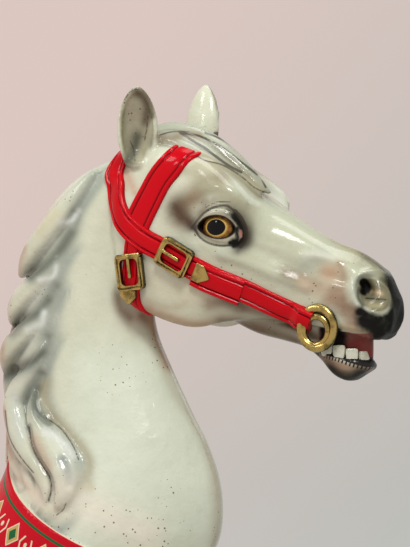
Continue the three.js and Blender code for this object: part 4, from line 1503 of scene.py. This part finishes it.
class HorseEnamel:
    """The horse's paint: airbrushed cream with a black muzzle, lined lids and a red trapping, over washes
    that hold painted shade and highlights.
    """

    FILM: Colour = (0.40, 0.45, 0.33)
    STAIN: Colour = (0.45, 0.30, 0.18)
    BLACK_AND_SHADE: Colour = (0.006, 0.006, 0.005)
    DIRT: Colour = (0.11, 0.065, 0.03)
    LID_LINE: Colour = (0.012, 0.010, 0.010)
    GUM_LINE: Colour = (0.012, 0.011, 0.010)
    LINE_AND_GROOVE_SHADE: Colour = (0.035, 0.026, 0.017)
    RED: Colour = (0.55, 0.001, 0.012)
    GREEN: Colour = (0.01, 0.12, 0.04)
    CREAM: Colour = (0.74, 0.66, 0.48)
    GOLD: Colour = (0.55, 0.36, 0.12)

    def build(self) -> Material:
        """Makes the material."""
        wire = Paintwork("horse_paint")
        broad, fine, uneven = (wire.brushed(scale) for scale in (11.0, 60.0, 20.0))
        smoke, cloth = wire.stored("smoke"), self._cloth(wire)
        rough = wire.plus(wire.plus(wire.times(fine, 0.12), 0.18), wire.times(smoke, 0.2))
        clear = wire.times(wire.math("SUBTRACT", 1.0, smoke, clamp=True), 0.5)
        lumps = wire.bump(uneven, 0.55, 0.006)
        return wire.finish({
            "Base Color": self._trapping(wire, self._coat(wire, broad, fine, smoke)),
            "Roughness": rough,
            "Coat Weight": wire.times(clear, wire.minus(1.0, wire.times(cloth, 0.7))),
            "Coat Roughness": 0.12,
            "Specular IOR Level": 0.13,
            "Normal": wire.bump(fine, 0.15, 0.002, Normal=lumps)})

    @staticmethod
    def _cloth(wire: Wiring) -> Socket:
        """1 on the trapping."""
        return wire.rise(wire.stored("behind"), -0.3, 0.5)

    def _coat(self, wire: Wiring, broad: Socket, fine: Socket, smoke: Socket) -> Socket:
        """The horse's coat with its smoke, specks and dark lines.

        Args:
            wire: the material's wiring.
            broad: its broad brushwork.
            fine: its fine brushwork.
            smoke: how black the airbrush left it, painted shade in the mouth included.

        Returns:
            The colour.
        """
        streak = wire.times(wire.minus(fine, 0.5), 0.5)
        speck = wire.add("Group", {"Place": wire.place(), "Scale": 120.0, "Size": 0.165}, node_tree=specks())
        # Dark drawn lines, among them painted shade along the groove between the lowest locks.
        crease = wire.plus(wire.stored("line"), wire.times(streak, 1.4))
        colour = wire.stored("wash", "Color")
        for share, over in (
            (wire.times(wire.rise(broad, 0.35, 0.75), 0.22), self.FILM),
            (wire.times(wire.rise(fine, 0.5, 0.8), 0.10), self.STAIN),
            # Black paint, and painted shade where the smoke lies in the mouth.
            (wire.rise(wire.plus(smoke, streak), 0.12, 1.0), self.BLACK_AND_SHADE),
            (wire.times(speck.outputs[0], 0.85), self.DIRT),
            (wire.fall(wire.stored("lid"), 1.0, 2.6), self.LID_LINE),
            (wire.times(wire.fall(crease, -0.2, 1.4), 0.8), self.LINE_AND_GROOVE_SHADE),
            (self._gums(wire), self.GUM_LINE),
        ):
            colour = wire.mix(share, colour, over)
        return colour

    @staticmethod
    def _gums(wire: Wiring) -> Socket:
        """Where a line runs under the teeth, with short strokes down the lip."""
        below = wire.stored("gum")
        line = wire.fall(wire.gap(below, 1.0), 6.0, 7.4)
        reach = wire.fall(wire.gap(below, 8.5), 3.4, 5.0)
        strokes = wire.fall(wire.math("PINGPONG", wire.stored("gum_along"), 2.4), 0.7, 1.3)
        share = wire.math("MAXIMUM", line, wire.times(reach, strokes))
        return wire.times(share, wire.stored("gum_near"))

    def _trapping(self, wire: Wiring, colour: Socket) -> Socket:
        """Red with a green line and a row of diamonds, dots and curls, where the trapping lies."""
        behind = wire.stored("behind")
        half = 40.0  # from the middle of a diamond to the next dot

        def band(low: float, high: float) -> Socket:
            """1 between two distances behind the edge."""
            start, end = (wire.rise(behind, at - 0.4, at + 0.4) for at in (low, high))
            return wire.math("SUBTRACT", start, end, clamp=True)

        turn = wire.math("PINGPONG", wire.stored("along"), half)
        depth, away = wire.gap(behind, 42.0), wire.minus(half, turn)
        diamond = wire.times(wire.plus(turn, depth), 0.68)
        dot = wire.math("SQRT", wire.plus(wire.math("POWER", away, 2.0), wire.math("POWER", depth, 2.0)))
        curl = wire.gap(wire.plus(away, wire.times(depth, 0.5)), 15.0)
        for share, over in (
            (self._cloth(wire), self.RED),
            (band(12, 16), self.GREEN),
            (band(-0.2, 0.8), self.CREAM),
            (wire.fall(diamond, 13.0, 13.7), self.CREAM),
            (wire.fall(diamond, 11.2, 11.9), self.GOLD),
            (wire.fall(diamond, 6.6, 7.3), self.GREEN),
            (wire.fall(dot, 3.4, 4.2), self.CREAM),
            (wire.times(wire.fall(curl, 1.4, 2.2), wire.fall(depth, 11.0, 12.0)), self.CREAM),
        ):
            colour = wire.mix(share, colour, over)
        return colour


@dataclass(frozen=True)
class Finish:
    """The finish of the smaller pieces: a tint made from its brushwork, and its sheen."""

    name: str
    tint: Callable[[Wiring, Socket], Socket]
    lay: float
    roughness: float
    coat: float
    coat_roughness: float = 0.08
    specular: float = 0.5
    metallic: float = 0.0
    lumps: float = 0.0
    depth: float = 0.001

    def build(self) -> Material:
        """Makes the material."""
        wire = Paintwork(self.name)
        fine = wire.brushed(self.lay)
        inputs = {
            "Base Color": self.tint(wire, fine),
            "Roughness": self.roughness,
            "Specular IOR Level": self.specular,
            "Metallic": self.metallic,
            "Coat Weight": self.coat,
            "Coat Roughness": self.coat_roughness}
        if self.lumps:
            inputs["Normal"] = wire.bump(fine, self.lumps, self.depth)
        return wire.finish(inputs)


def strap_tint(wire: Wiring, fine: Socket) -> Socket:
    """The bridle's red, darker in the grooves beside its edges and at its foot."""
    across = wire.math("ABSOLUTE", wire.stored("across"))
    groove, foot = wire.fall(wire.gap(across, 0.31), 0.012, 0.045), wire.rise(across, 0.49, 0.52)
    share = wire.times(wire.math("MAXIMUM", groove, foot), 0.8)
    lined = wire.mix(share, (0.54, 0.0, 0.006), (0.07, 0.0005, 0.002))
    return wire.mix(wire.times(wire.rise(fine, 0.55, 0.75), 0.25), lined, (0.40, 0.006, 0.02))


def gilt_tint(wire: Wiring, lay: Socket) -> Socket:
    """Gilt with painted light and shade: bright on what stands proud of a fitting, olive brown down its
    sides.
    """
    proud = wire.plus(wire.stored("proud"), wire.times(wire.minus(lay, 0.5), 2.2))
    # Painted light where the gilt faces out, painted shade down its sides.
    return wire.mix(wire.rise(proud, 0.35, 1.2), (0.055, 0.042, 0.008), (0.55, 0.41, 0.125))


def tooth_tint(wire: Wiring, lay: Socket) -> Socket:
    """Off-white, a little uneven."""
    return wire.mix(wire.rise(lay, 0.42, 0.62), (0.62, 0.64, 0.52), (0.50, 0.50, 0.38))


def eye_tint(wire: Wiring, fine: Socket) -> Socket:
    """An amber iris painted behind a clear dome, by distance from the pupil."""
    radius = wire.stored("iris")
    amber = wire.mix(wire.rise(fine, 0.35, 0.65), (0.36, 0.17, 0.035), (0.15, 0.06, 0.012))
    ring = wire.mix(wire.rise(radius, 14.6, 18.2), (0.62, 0.42, 0.11), amber)
    rim = wire.mix(wire.rise(radius, 20.0, 23.5), ring, (0.02, 0.010, 0.006))
    return wire.mix(wire.rise(radius, 13.6, 14.8), (0.003, 0.003, 0.004), rim)


STRAP_ENAMEL = Finish("strap_paint", strap_tint, lay=45.0, roughness=0.2, coat=0.18, coat_roughness=0.06,
                      specular=0.08, lumps=0.15, depth=0.002)
GILT_PAINT = Finish("gilt_paint", gilt_tint, lay=75.0, roughness=0.24, coat=0.3, metallic=0.9,
                    lumps=0.25, depth=0.0015)
TOOTH_ENAMEL = Finish("tooth_paint", tooth_tint, lay=70.0, roughness=0.2, coat=0.5, lumps=0.2)
EYE_GLASS = Finish("glass_eye", eye_tint, lay=160.0, roughness=0.04, coat=0.2, coat_roughness=0.02,
                   specular=0.1)


def dress(item: Object, material: Material, slot: Slot) -> None:
    """Gives a piece its finish."""
    item.data.materials.clear()
    item.data.materials.append(material)


# ---------------------------------------------------------------- the bridle

# The left half of a strap's section: the share of its width and of its relief.
STRAP_HALF: Flat = (
    (-0.5, -1.2), (-0.5, 0.35), (-0.49, 0.72), (-0.465, 0.93), (-0.43, 1.0), (-0.39, 1.0), (-0.355, 0.93),
    (-0.335, 0.74), (-0.31, 0.64), (-0.285, 0.74), (-0.265, 0.92), (-0.22, 1.0), (-0.1, 1.04))
STRAP_STEP = 3.5  # the length between a strap's rings
STRAP_POINTS = 9  # how many places across a strap are laid on the skin
STRAP_TAIL = (42, 22)  # where its end starts to rise and where it has risen, from the end
STRAP_FOOT = 0.53  # the place across that is stored on a strap's foot
STRAP_SECTION: Flat = (*STRAP_HALF, (0.0, 1.05), *((-share, height) for share, height in STRAP_HALF[::-1]))


@dataclass(frozen=True)
class Strap:
    """One strap of the bridle, laid on the moulding along a line on the right side."""

    name: str
    path: Line
    width: float
    relief: float
    rise: float = 0.0

    def build(self, skin: Skin, side: Side | None = None) -> Object:
        """Lays the strap on the skin.

        Args:
            skin: the moulding's surface.
            side: which side it lies on, or nothing where it crosses the midline.

        Returns:
            The strap's object, with its place across stored on its mesh.
        """
        points = np.array(self.path, float)
        if side is None:
            points = np.concatenate([points, mirrored(points[:-1][::-1])])
        elif side is Side.LEFT:
            points = np.array(mirrored(points))
        length = path_length(catmull(points, 400))
        steps = max(int(length / STRAP_STEP), 8)
        line = catmull(points, steps)
        ahead = unit(np.gradient(line, axis=0))
        middle, out = (np.array(found) for found in zip(*(skin.nearest(p) for p in line)))
        for _ in range(8):
            out[1:-1] = (out[:-2] + out[1:-1] * 2 + out[2:]) / 4
            out = unit(out)
        out = unit(out - ahead * (out * ahead).sum(1, keepdims=True))
        across = np.cross(ahead, out)
        spread = np.empty((steps, STRAP_POINTS, 3))
        for i, (k, share) in product(range(steps), enumerate(np.linspace(-0.5, 0.5, STRAP_POINTS))):
            want = middle[i] + across[i] * share * self.width
            spread[i, k] = want + out[i] * ((skin.nearest(want)[0] - want) @ out[i])
        for _ in range(4):
            spread[1:-1] = (spread[:-2] + 2 * spread[1:-1] + spread[2:]) / 4
            spread[:, 1:-1] = (spread[:, :-2] + 2 * spread[:, 1:-1] + spread[:, 2:]) / 4
        low, high = (length - from_end for from_end in STRAP_TAIL)
        tail = self.rise * step(length * np.linspace(0, 1, steps), low, high)
        rings, marks = [], []
        for share, height in STRAP_SECTION:
            at = (share + 0.5) * (STRAP_POINTS - 1)
            k = min(int(at), STRAP_POINTS - 2)
            base = spread[:, k] * (1 - (at - k)) + spread[:, k + 1] * (at - k)
            raised = -0.4 * self.relief if height < 0 else height * self.relief + tail
            rings.append(base + out * np.broadcast_to(raised, steps)[:, None])
            marks.append(STRAP_FOOT if height < 0.3 else share)
        item = shell(side.label(self.name) if side else self.name, np.stack(rings, 1))
        Clay(item).paint("across", np.concatenate([np.tile(np.array(marks), steps), [0.0, 0.0]]))
        smooth_shade(item, 50)
        return item


def mark_proud(item: Object, out: Array) -> None:
    """Stores on a fitting how far each vertex faces out from the horse."""
    clay = Clay(item)
    clay.paint("proud", step(clay.out @ out, -0.1, 0.75))


@dataclass(frozen=True)
class Fitting:
    """A flat gilt fitting, modelled at the origin and set on a strap."""

    name: str
    at: Point
    along: Point
    length: float
    width: float
    thick: float
    lift: float

    def model(self) -> Object:
        """Models the fitting, its length along X."""
        raise NotImplementedError

    def solidify(self, item: Object) -> None:
        """Gives a flat outline its thickness."""
        apply_modifier(item, "SOLIDIFY", thickness=self.thick * MM, offset=0.0)

    def build(self, skin: Skin, side: Side) -> Object:
        """Models the fitting and sets it on the strap of one side, standing out of the skin."""
        item = self.model()
        item.name = side.label(self.name)
        flip = np.array([1, -side.value, 1])
        spot, out = skin.nearest(np.array(self.at) * flip)
        ahead = np.array(self.along, float) * flip
        ahead = unit(ahead - out * (ahead @ out))
        place = np.eye(4)
        place[:3, :3] = np.stack([ahead, np.cross(out, ahead), out], 1)
        place[:3, 3] = (spot + out * self.lift) * MM
        item.data.transform(Matrix(place.tolist()))
        item.data.update()
        smooth_shade(item, 40)
        mark_proud(item, out)
        return item


@dataclass(frozen=True)
class Buckle(Fitting):
    """A square gilt buckle with its prong and keeper."""

    length: float = 51
    width: float = 43
    thick: float = 7
    lift: float = 7.6
    bar: float = 7

    def model(self) -> Object:
        """Models the frame, and joins the prong and the keeper to it."""
        outline = primitive("plane", size=1)
        outline.scale = (self.length * MM, self.width * MM, 1)
        bake_place(outline)
        with editing():
            bpy.ops.mesh.inset(thickness=self.bar * MM)
            bpy.ops.mesh.delete(type="FACE")
            bpy.ops.mesh.select_all(action="SELECT")
            bpy.ops.mesh.bevel(offset=7 * MM, segments=5, affect="VERTICES")
        self.solidify(outline)
        apply_modifier(outline, "BEVEL", width=2.8 * MM, segments=4, limit_method="ANGLE",
                       angle_limit=math.radians(50))
        bars = [outline]
        for x, z, size in (
            (-0.14, 2.2, (self.length * 0.62, self.bar * 0.75, self.thick * 0.7)),
            (-0.44, 1.2, (self.bar * 0.9, self.width * 0.9, self.thick * 0.9)),
        ):
            bar = primitive("cube", size=1, location=(x * self.length * MM, 0, z * MM),
                            scale=tuple(v * MM for v in size))
            bake_place(bar)
            apply_modifier(bar, "BEVEL", width=1.9 * MM, segments=3)
            bars.append(bar)
        return joined(bars)


@dataclass(frozen=True)
class StrapTip(Fitting):
    """The pointed gilt tip of a strap's end."""

    width: float = 27
    thick: float = 5
    lift: float = 6.2

    def model(self) -> Object:
        """Models the tip: a short plate drawn out to a point."""
        item = primitive("plane", size=1)
        item.scale = (self.length * 0.5 * MM, self.width * MM, 1)
        bake_place(item)
        with editing("DESELECT"):
            pass
        for edge in item.data.edges:
            edge.select = min(item.data.vertices[i].co.x for i in edge.vertices) > 0
        for vertex in item.data.vertices:
            vertex.select = vertex.co.x > 0
        with editing(None):
            move = {"value": (self.length * 0.55 * MM, 0, 0)}
            bpy.ops.mesh.extrude_region_move(TRANSFORM_OT_translate=move)
            bpy.ops.transform.resize(value=(1, 0.12, 1))
        self.solidify(item)
        apply_modifier(item, "BEVEL", width=1.8 * MM, segments=4)
        return item


# Each bit ring is a stout outer ring and a thinner one inside it: centre, radius and half thickness.
BIT_RING: tuple[tuple[Point, float, float], ...] = (
    ((396, -45, 329), 25.5, 5.6), ((393.5, -44, 325), 18.5, 4.6))


def bit_ring(side: Side) -> Object:
    """Models both rings upright beside the corner of the mouth and joins them."""
    rings = []
    for (x, y, z), radius, half in BIT_RING:
        ring = primitive(
            "torus", location=(x * MM, -y * side.value * MM, z * MM), rotation=(math.pi / 2, 0, 0),
            major_radius=radius * MM, minor_radius=half * MM, major_segments=72, minor_segments=20)
        ring.scale = (1, 1.08, 1)
        bake_place(ring)
        rings.append(ring)
    item = joined(rings)
    item.name = side.label("bit_ring")
    smooth_shade(item)
    mark_proud(item, np.array([0.0, float(side.value), 0.0]))
    return item


@dataclass(frozen=True)
class Bridle:
    """The red straps with their gilt buckles, tips and bit rings."""

    whole: tuple[Strap, ...] = (
        Strap("throat_strap", [(130, -68, 456), (125, -70, 428), (122, -70, 402), (118, -68, 378),
                               (116, -60, 354), (122, -40, 344), (130, 0, 350)], 30, 4.6),
        Strap("brow_band", [(127, -68, 462), (139, -71, 486), (153, -71, 512), (166, -69, 534),
                            (188, -62, 558), (202, -48, 574), (208, -24, 581), (210, 0, 584)], 42, 4.8),
        Strap("crown_strap", [(230, -73, 405), (205, -74, 419), (172, -74, 437), (143, -71, 451),
                              (112, -66, 474), (90, -62, 508), (84, -54, 546), (88, -34, 576),
                              (92, 0, 590)], 33, 6.4))
    sided: tuple[Strap, ...] = (
        Strap("cheek_strap", [(214, -73, 414), (251, -69, 396), (287, -62, 381), (322, -54, 364),
                              (357, -48, 347), (384, -45, 335)], 33, 5.0, rise=8.0),
        Strap("cheek_end", [(222, -73, 405), (240, -70, 396), (264, -67, 386), (288, -62, 376)], 38, 7.0))
    fittings: tuple[Fitting, ...] = (
        Buckle("cheek_buckle", (195, -74, 427), (0.86, 0, -0.5)),
        Buckle("throat_buckle", (124, -70, 406), (0.1, 0, -1)),
        StrapTip("cheek_tip", (228, -72, 406), (0.88, 0, -0.48), 24),
        StrapTip("throat_tip", (118, -68, 377), (-0.1, 0, -1), 20))

    def build(self, skin: Skin, leather: Material, gilt: Material) -> list[Object]:
        """Makes every strap and fitting.

        Args:
            skin: the moulding's surface.
            leather: the straps' red.
            gilt: the metal fittings' paint.

        Returns:
            The pieces.
        """
        straps = [strap.build(skin) for strap in self.whole]
        straps += [strap.build(skin, side) for strap in self.sided for side in Side]
        metal = [piece for side in Side
                 for piece in (*(fitting.build(skin, side) for fitting in self.fittings), bit_ring(side))]
        for strap in straps:
            dress(strap, leather, Slot.RED)
        for fitting in metal:
            dress(fitting, gilt, Slot.GOLD)
        return straps + metal


# ---------------------------------------------------------------- teeth and eyes


@dataclass(frozen=True)
class Teeth:
    """The lower teeth: where each stands on the left, and how far it turns out from the nose."""

    places: tuple[tuple[Point, float], ...] = (
        ((402, 26.5, 300), 86), ((420, 25.5, 295.5), 82), ((437, 20.5, 291), 64), ((451, 9.5, 287.5), 26))
    width: float = 18.5
    thick: float = 8
    height: float = 20

    def model(self) -> Object:
        """Models one tooth upright at the origin: a block, fuller at its cutting edge, rounded off."""
        item = primitive("cube", size=1, scale=(self.thick * MM, self.width * MM, self.height * MM))
        bake_place(item)
        with editing():
            bpy.ops.mesh.subdivide(number_cuts=2)
        for vertex in item.data.vertices:
            t = vertex.co.z / (self.height * MM) + 0.5
            vertex.co.y *= 0.78 + 0.3 * t - 0.12 * t**3
            vertex.co.x *= 1.1 - 0.35 * t
        apply_modifier(item, "SUBSURF", levels=2, render_levels=2)
        return item

    def build(self, material: Material) -> list[Object]:
        """Copies the tooth round the jaw."""
        model = self.model()
        made = []
        for side, (number, ((x, y, z), turn)) in product(Side, enumerate(self.places)):
            item = model.copy()
            item.data = model.data.copy()
            bpy.context.scene.collection.objects.link(item)
            item.name = f"{side.label('tooth')}_{number}"
            item.rotation_euler = (0, 0, math.radians(turn) * side.value)
            item.location = (x * MM, y * side.value * MM, z * MM)
            bake_place(item)
            smooth_shade(item)
            dress(item, material, Slot.TOOTH)
            made.append(item)
        bpy.data.objects.remove(model)
        return made


def glass_eye(place: EyePlace, side: Side, material: Material) -> Object:
    """Makes one eye, with its distance from the pupil stored on its mesh.

    Args:
        place: where it sits.
        side: its side.
        material: its glass.

    Returns:
        The eye.
    """
    x, y, z = place.centre
    item = primitive(
        "uv_sphere", segments=96, ring_count=64, radius=place.radius * MM,
        location=(x * MM, y * side.value * MM, z * MM), rotation=(math.pi / 2, 0, 0))
    item.name = side.label("glass_eye")
    bake_place(item)
    clay = Clay(item)
    gaze_x, gaze_z = place.gaze
    clay.paint("iris", np.hypot(clay.co[:, 0] - gaze_x, place.oval * (clay.co[:, 2] - gaze_z)))
    smooth_shade(item)
    dress(item, material, Slot.EYE)
    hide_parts(f"{side.name.lower()}_eye")
    return item


# ---------------------------------------------------------------- the studio


@dataclass(frozen=True)
class Lamp:
    """A soft lamp: where it hangs, its width and height, in metres, its watts and its colour."""

    name: str
    place: Point
    size: tuple[float, float]
    power: float
    tint: Colour

    def hang(self, target: Vector) -> None:
        """Hangs the lamp so that it points at the horse."""
        data = bpy.data.lights.new(self.name, "AREA")
        data.shape = "RECTANGLE"
        data.size, data.size_y = self.size
        data.energy = self.power
        data.color = self.tint
        item = link(self.name, data)
        item.location = self.place
        item.rotation_euler = (target - Vector(self.place)).to_track_quat("-Z", "Y").to_euler()


@dataclass(frozen=True)
class Studio:
    """A pale floor that curves up all round, soft lamps and the camera."""

    target: Point = (0.1636, 0.0798, 0.4039)
    distance: float = 11.0
    azimuth: float = 26.0
    lens: float = 517.0
    reach: float = 22.0
    curve: float = 5.0
    top: float = 14.0
    facets: int = 96
    clip: float = 150.0
    sky: float = 0.42
    slope: tuple[float, float] = (0.905, 0.804)
    start: float = 0.326
    pale: Colour = (0.025, 0.023, 0.022)
    warm: Colour = (0.698, 0.562, 0.518)
    cool: Colour = (0.494, 0.494, 0.466)
    air: Colour = (0.84, 0.85, 0.83)
    lamps: tuple[Lamp, ...] = (
        Lamp("key_lamp", (1.3, -2.1, 3.1), (1.0, 0.9), 74, (1.0, 1.0, 0.985)),
        Lamp("chest_lamp", (-0.9, -2.4, 1.95), (0.4, 0.3), 7, (1.0, 1.0, 1.0)),
        Lamp("side_lamp", (-2.0, -1.9, 3.0), (1.0, 1.0), 26, (1.0, 1.0, 0.985)),
        Lamp("top_lamp", (0.3, 0.6, 3.4), (1.6, 1.6), 28, (1.0, 1.0, 0.99)),
        Lamp("far_lamp", (0.8, 3.2, 2.0), (1.6, 1.6), 7, (0.98, 0.99, 1.0)))

    def backdrop(self) -> None:
        """Spins the floor and wall as one sheet about the upright."""
        profile = [(self.reach + self.curve * math.sin(turn), self.curve * (1 - math.cos(turn)))
                   for turn in np.linspace(0, math.pi / 2, 13)]
        profile.append((self.reach + self.curve, self.top))
        around = self.facets
        angle = np.linspace(0, 2 * math.pi, around, endpoint=False)
        rings = [np.stack([r * np.cos(angle), r * np.sin(angle), np.full(around, h)], 1) for r, h in profile]
        faces: list[tuple[int, ...]] = [(0, 1 + k, 1 + (k + 1) % around) for k in range(around)]
        for ring, k in product(range(len(rings) - 1), range(around)):
            a, b = 1 + ring * around + k, 1 + ring * around + (k + 1) % around
            faces.append((a, a + around, b + around, b))
        item = make_object("studio_sweep", np.vstack([np.zeros((1, 3)), *rings]) / MM, faces)
        smooth_shade(item)
        item.data.materials.append(self.paper())
        item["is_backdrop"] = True

    def paper(self) -> Material:
        """Pale paper that glows from warm at the view's upper left to cool at its lower right."""
        wire = Paintwork("studio_paper")
        x, y, z = wire.add("SeparateXYZ", {"Vector": wire.place()}).outputs
        across = wire.plus(wire.times(x, VIEW_COS), wire.times(y, VIEW_SIN))
        behind = wire.minus(wire.times(y, VIEW_COS), wire.times(x, VIEW_SIN))
        spread = wire.math("MAXIMUM", wire.plus(wire.math("DIVIDE", behind, self.distance), 1.0), 0.6)
        height = wire.math("DIVIDE", wire.minus(z, self.target[2]), spread)
        aside = wire.math("DIVIDE", wire.times(across, self.slope[0]), spread)
        share = wire.math("ADD", wire.minus(aside, wire.times(height, self.slope[1])), self.start, clamp=True)
        level = wire.times(wire.minus(share, 0.5), wire.rise(behind, -3.0, 0.3))
        return wire.finish({
            "Base Color": (*self.pale, 1.0),
            "Emission Color": wire.mix(wire.plus(level, 0.5), self.warm, self.cool),
            "Emission Strength": 1.0,
            "Roughness": 0.95,
            "Specular IOR Level": 0.0})

    def build(self) -> None:
        """Sets up the sweep, the lamps, the sky and the camera."""
        scene, target = bpy.context.scene, Vector(self.target)
        self.backdrop()
        for lamp in self.lamps:
            lamp.hang(target)
        scene.world = bpy.data.worlds.new("studio_air")
        scene.world.use_nodes = True
        sky = scene.world.node_tree.nodes["Background"].inputs
        sky["Color"].default_value = (*self.air, 1.0)
        sky["Strength"].default_value = self.sky
        scene.view_settings.view_transform = "Standard"
        turn = math.radians(self.azimuth)
        data = bpy.data.cameras.new("camera")
        data.lens = self.lens
        data.clip_end = self.clip
        scene.camera = link("camera", data)
        back = Vector((math.sin(turn), -math.cos(turn), 0))
        scene.camera.location = target + back * self.distance
        scene.camera.rotation_euler = (-back).to_track_quat("-Z", "Y").to_euler()


# ---------------------------------------------------------------- the whole


def keep_within(items: list[Object]) -> None:
    """Holds every piece within the box of the model it dresses, to a hundredth of a millimetre.

    Args:
        items: the pieces, all with their meshes placed and no transform of their own.
    """
    low, high = np.array(BOX) * MM
    for item in items:
        held = np.clip(read_vectors(item.data.vertices, "co"), low, high)
        item.data.vertices.foreach_set("co", held.ravel())
        item.data.update()


def note_size(sizes: dict[str, list[list[float]]], stage: str) -> None:
    """Notes the object's corners at a stage of the work."""
    low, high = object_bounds()
    sizes[stage] = [list(low), list(high)]


def main() -> None:
    """Builds the horse piece by piece."""
    logging.basicConfig(level=logging.INFO, format="%(name)s: %(message)s")
    sizes: dict[str, list[list[float]]] = {}
    note_size(sizes, "before")
    moulding = Moulding()
    horse = moulding.build()
    dress(horse, HorseEnamel().build(), Slot.CREAM)
    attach(horse, "root")
    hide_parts("horse_bust")
    pieces = Bridle().build(moulding.bare_skin(), STRAP_ENAMEL.build(), GILT_PAINT.build())
    pieces += Teeth().build(TOOTH_ENAMEL.build())
    glass = EYE_GLASS.build()
    pieces += [glass_eye(moulding.eye, side, glass) for side in Side]
    for item in pieces:
        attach(item, "root")
    for item in [horse, *pieces]:
        log.info("%s: %d faces", item.name, len(item.data.polygons))
    keep_within([horse, *pieces])
    Studio().build()
    note_size(sizes, "after")


if __name__ == "__main__":
    main()
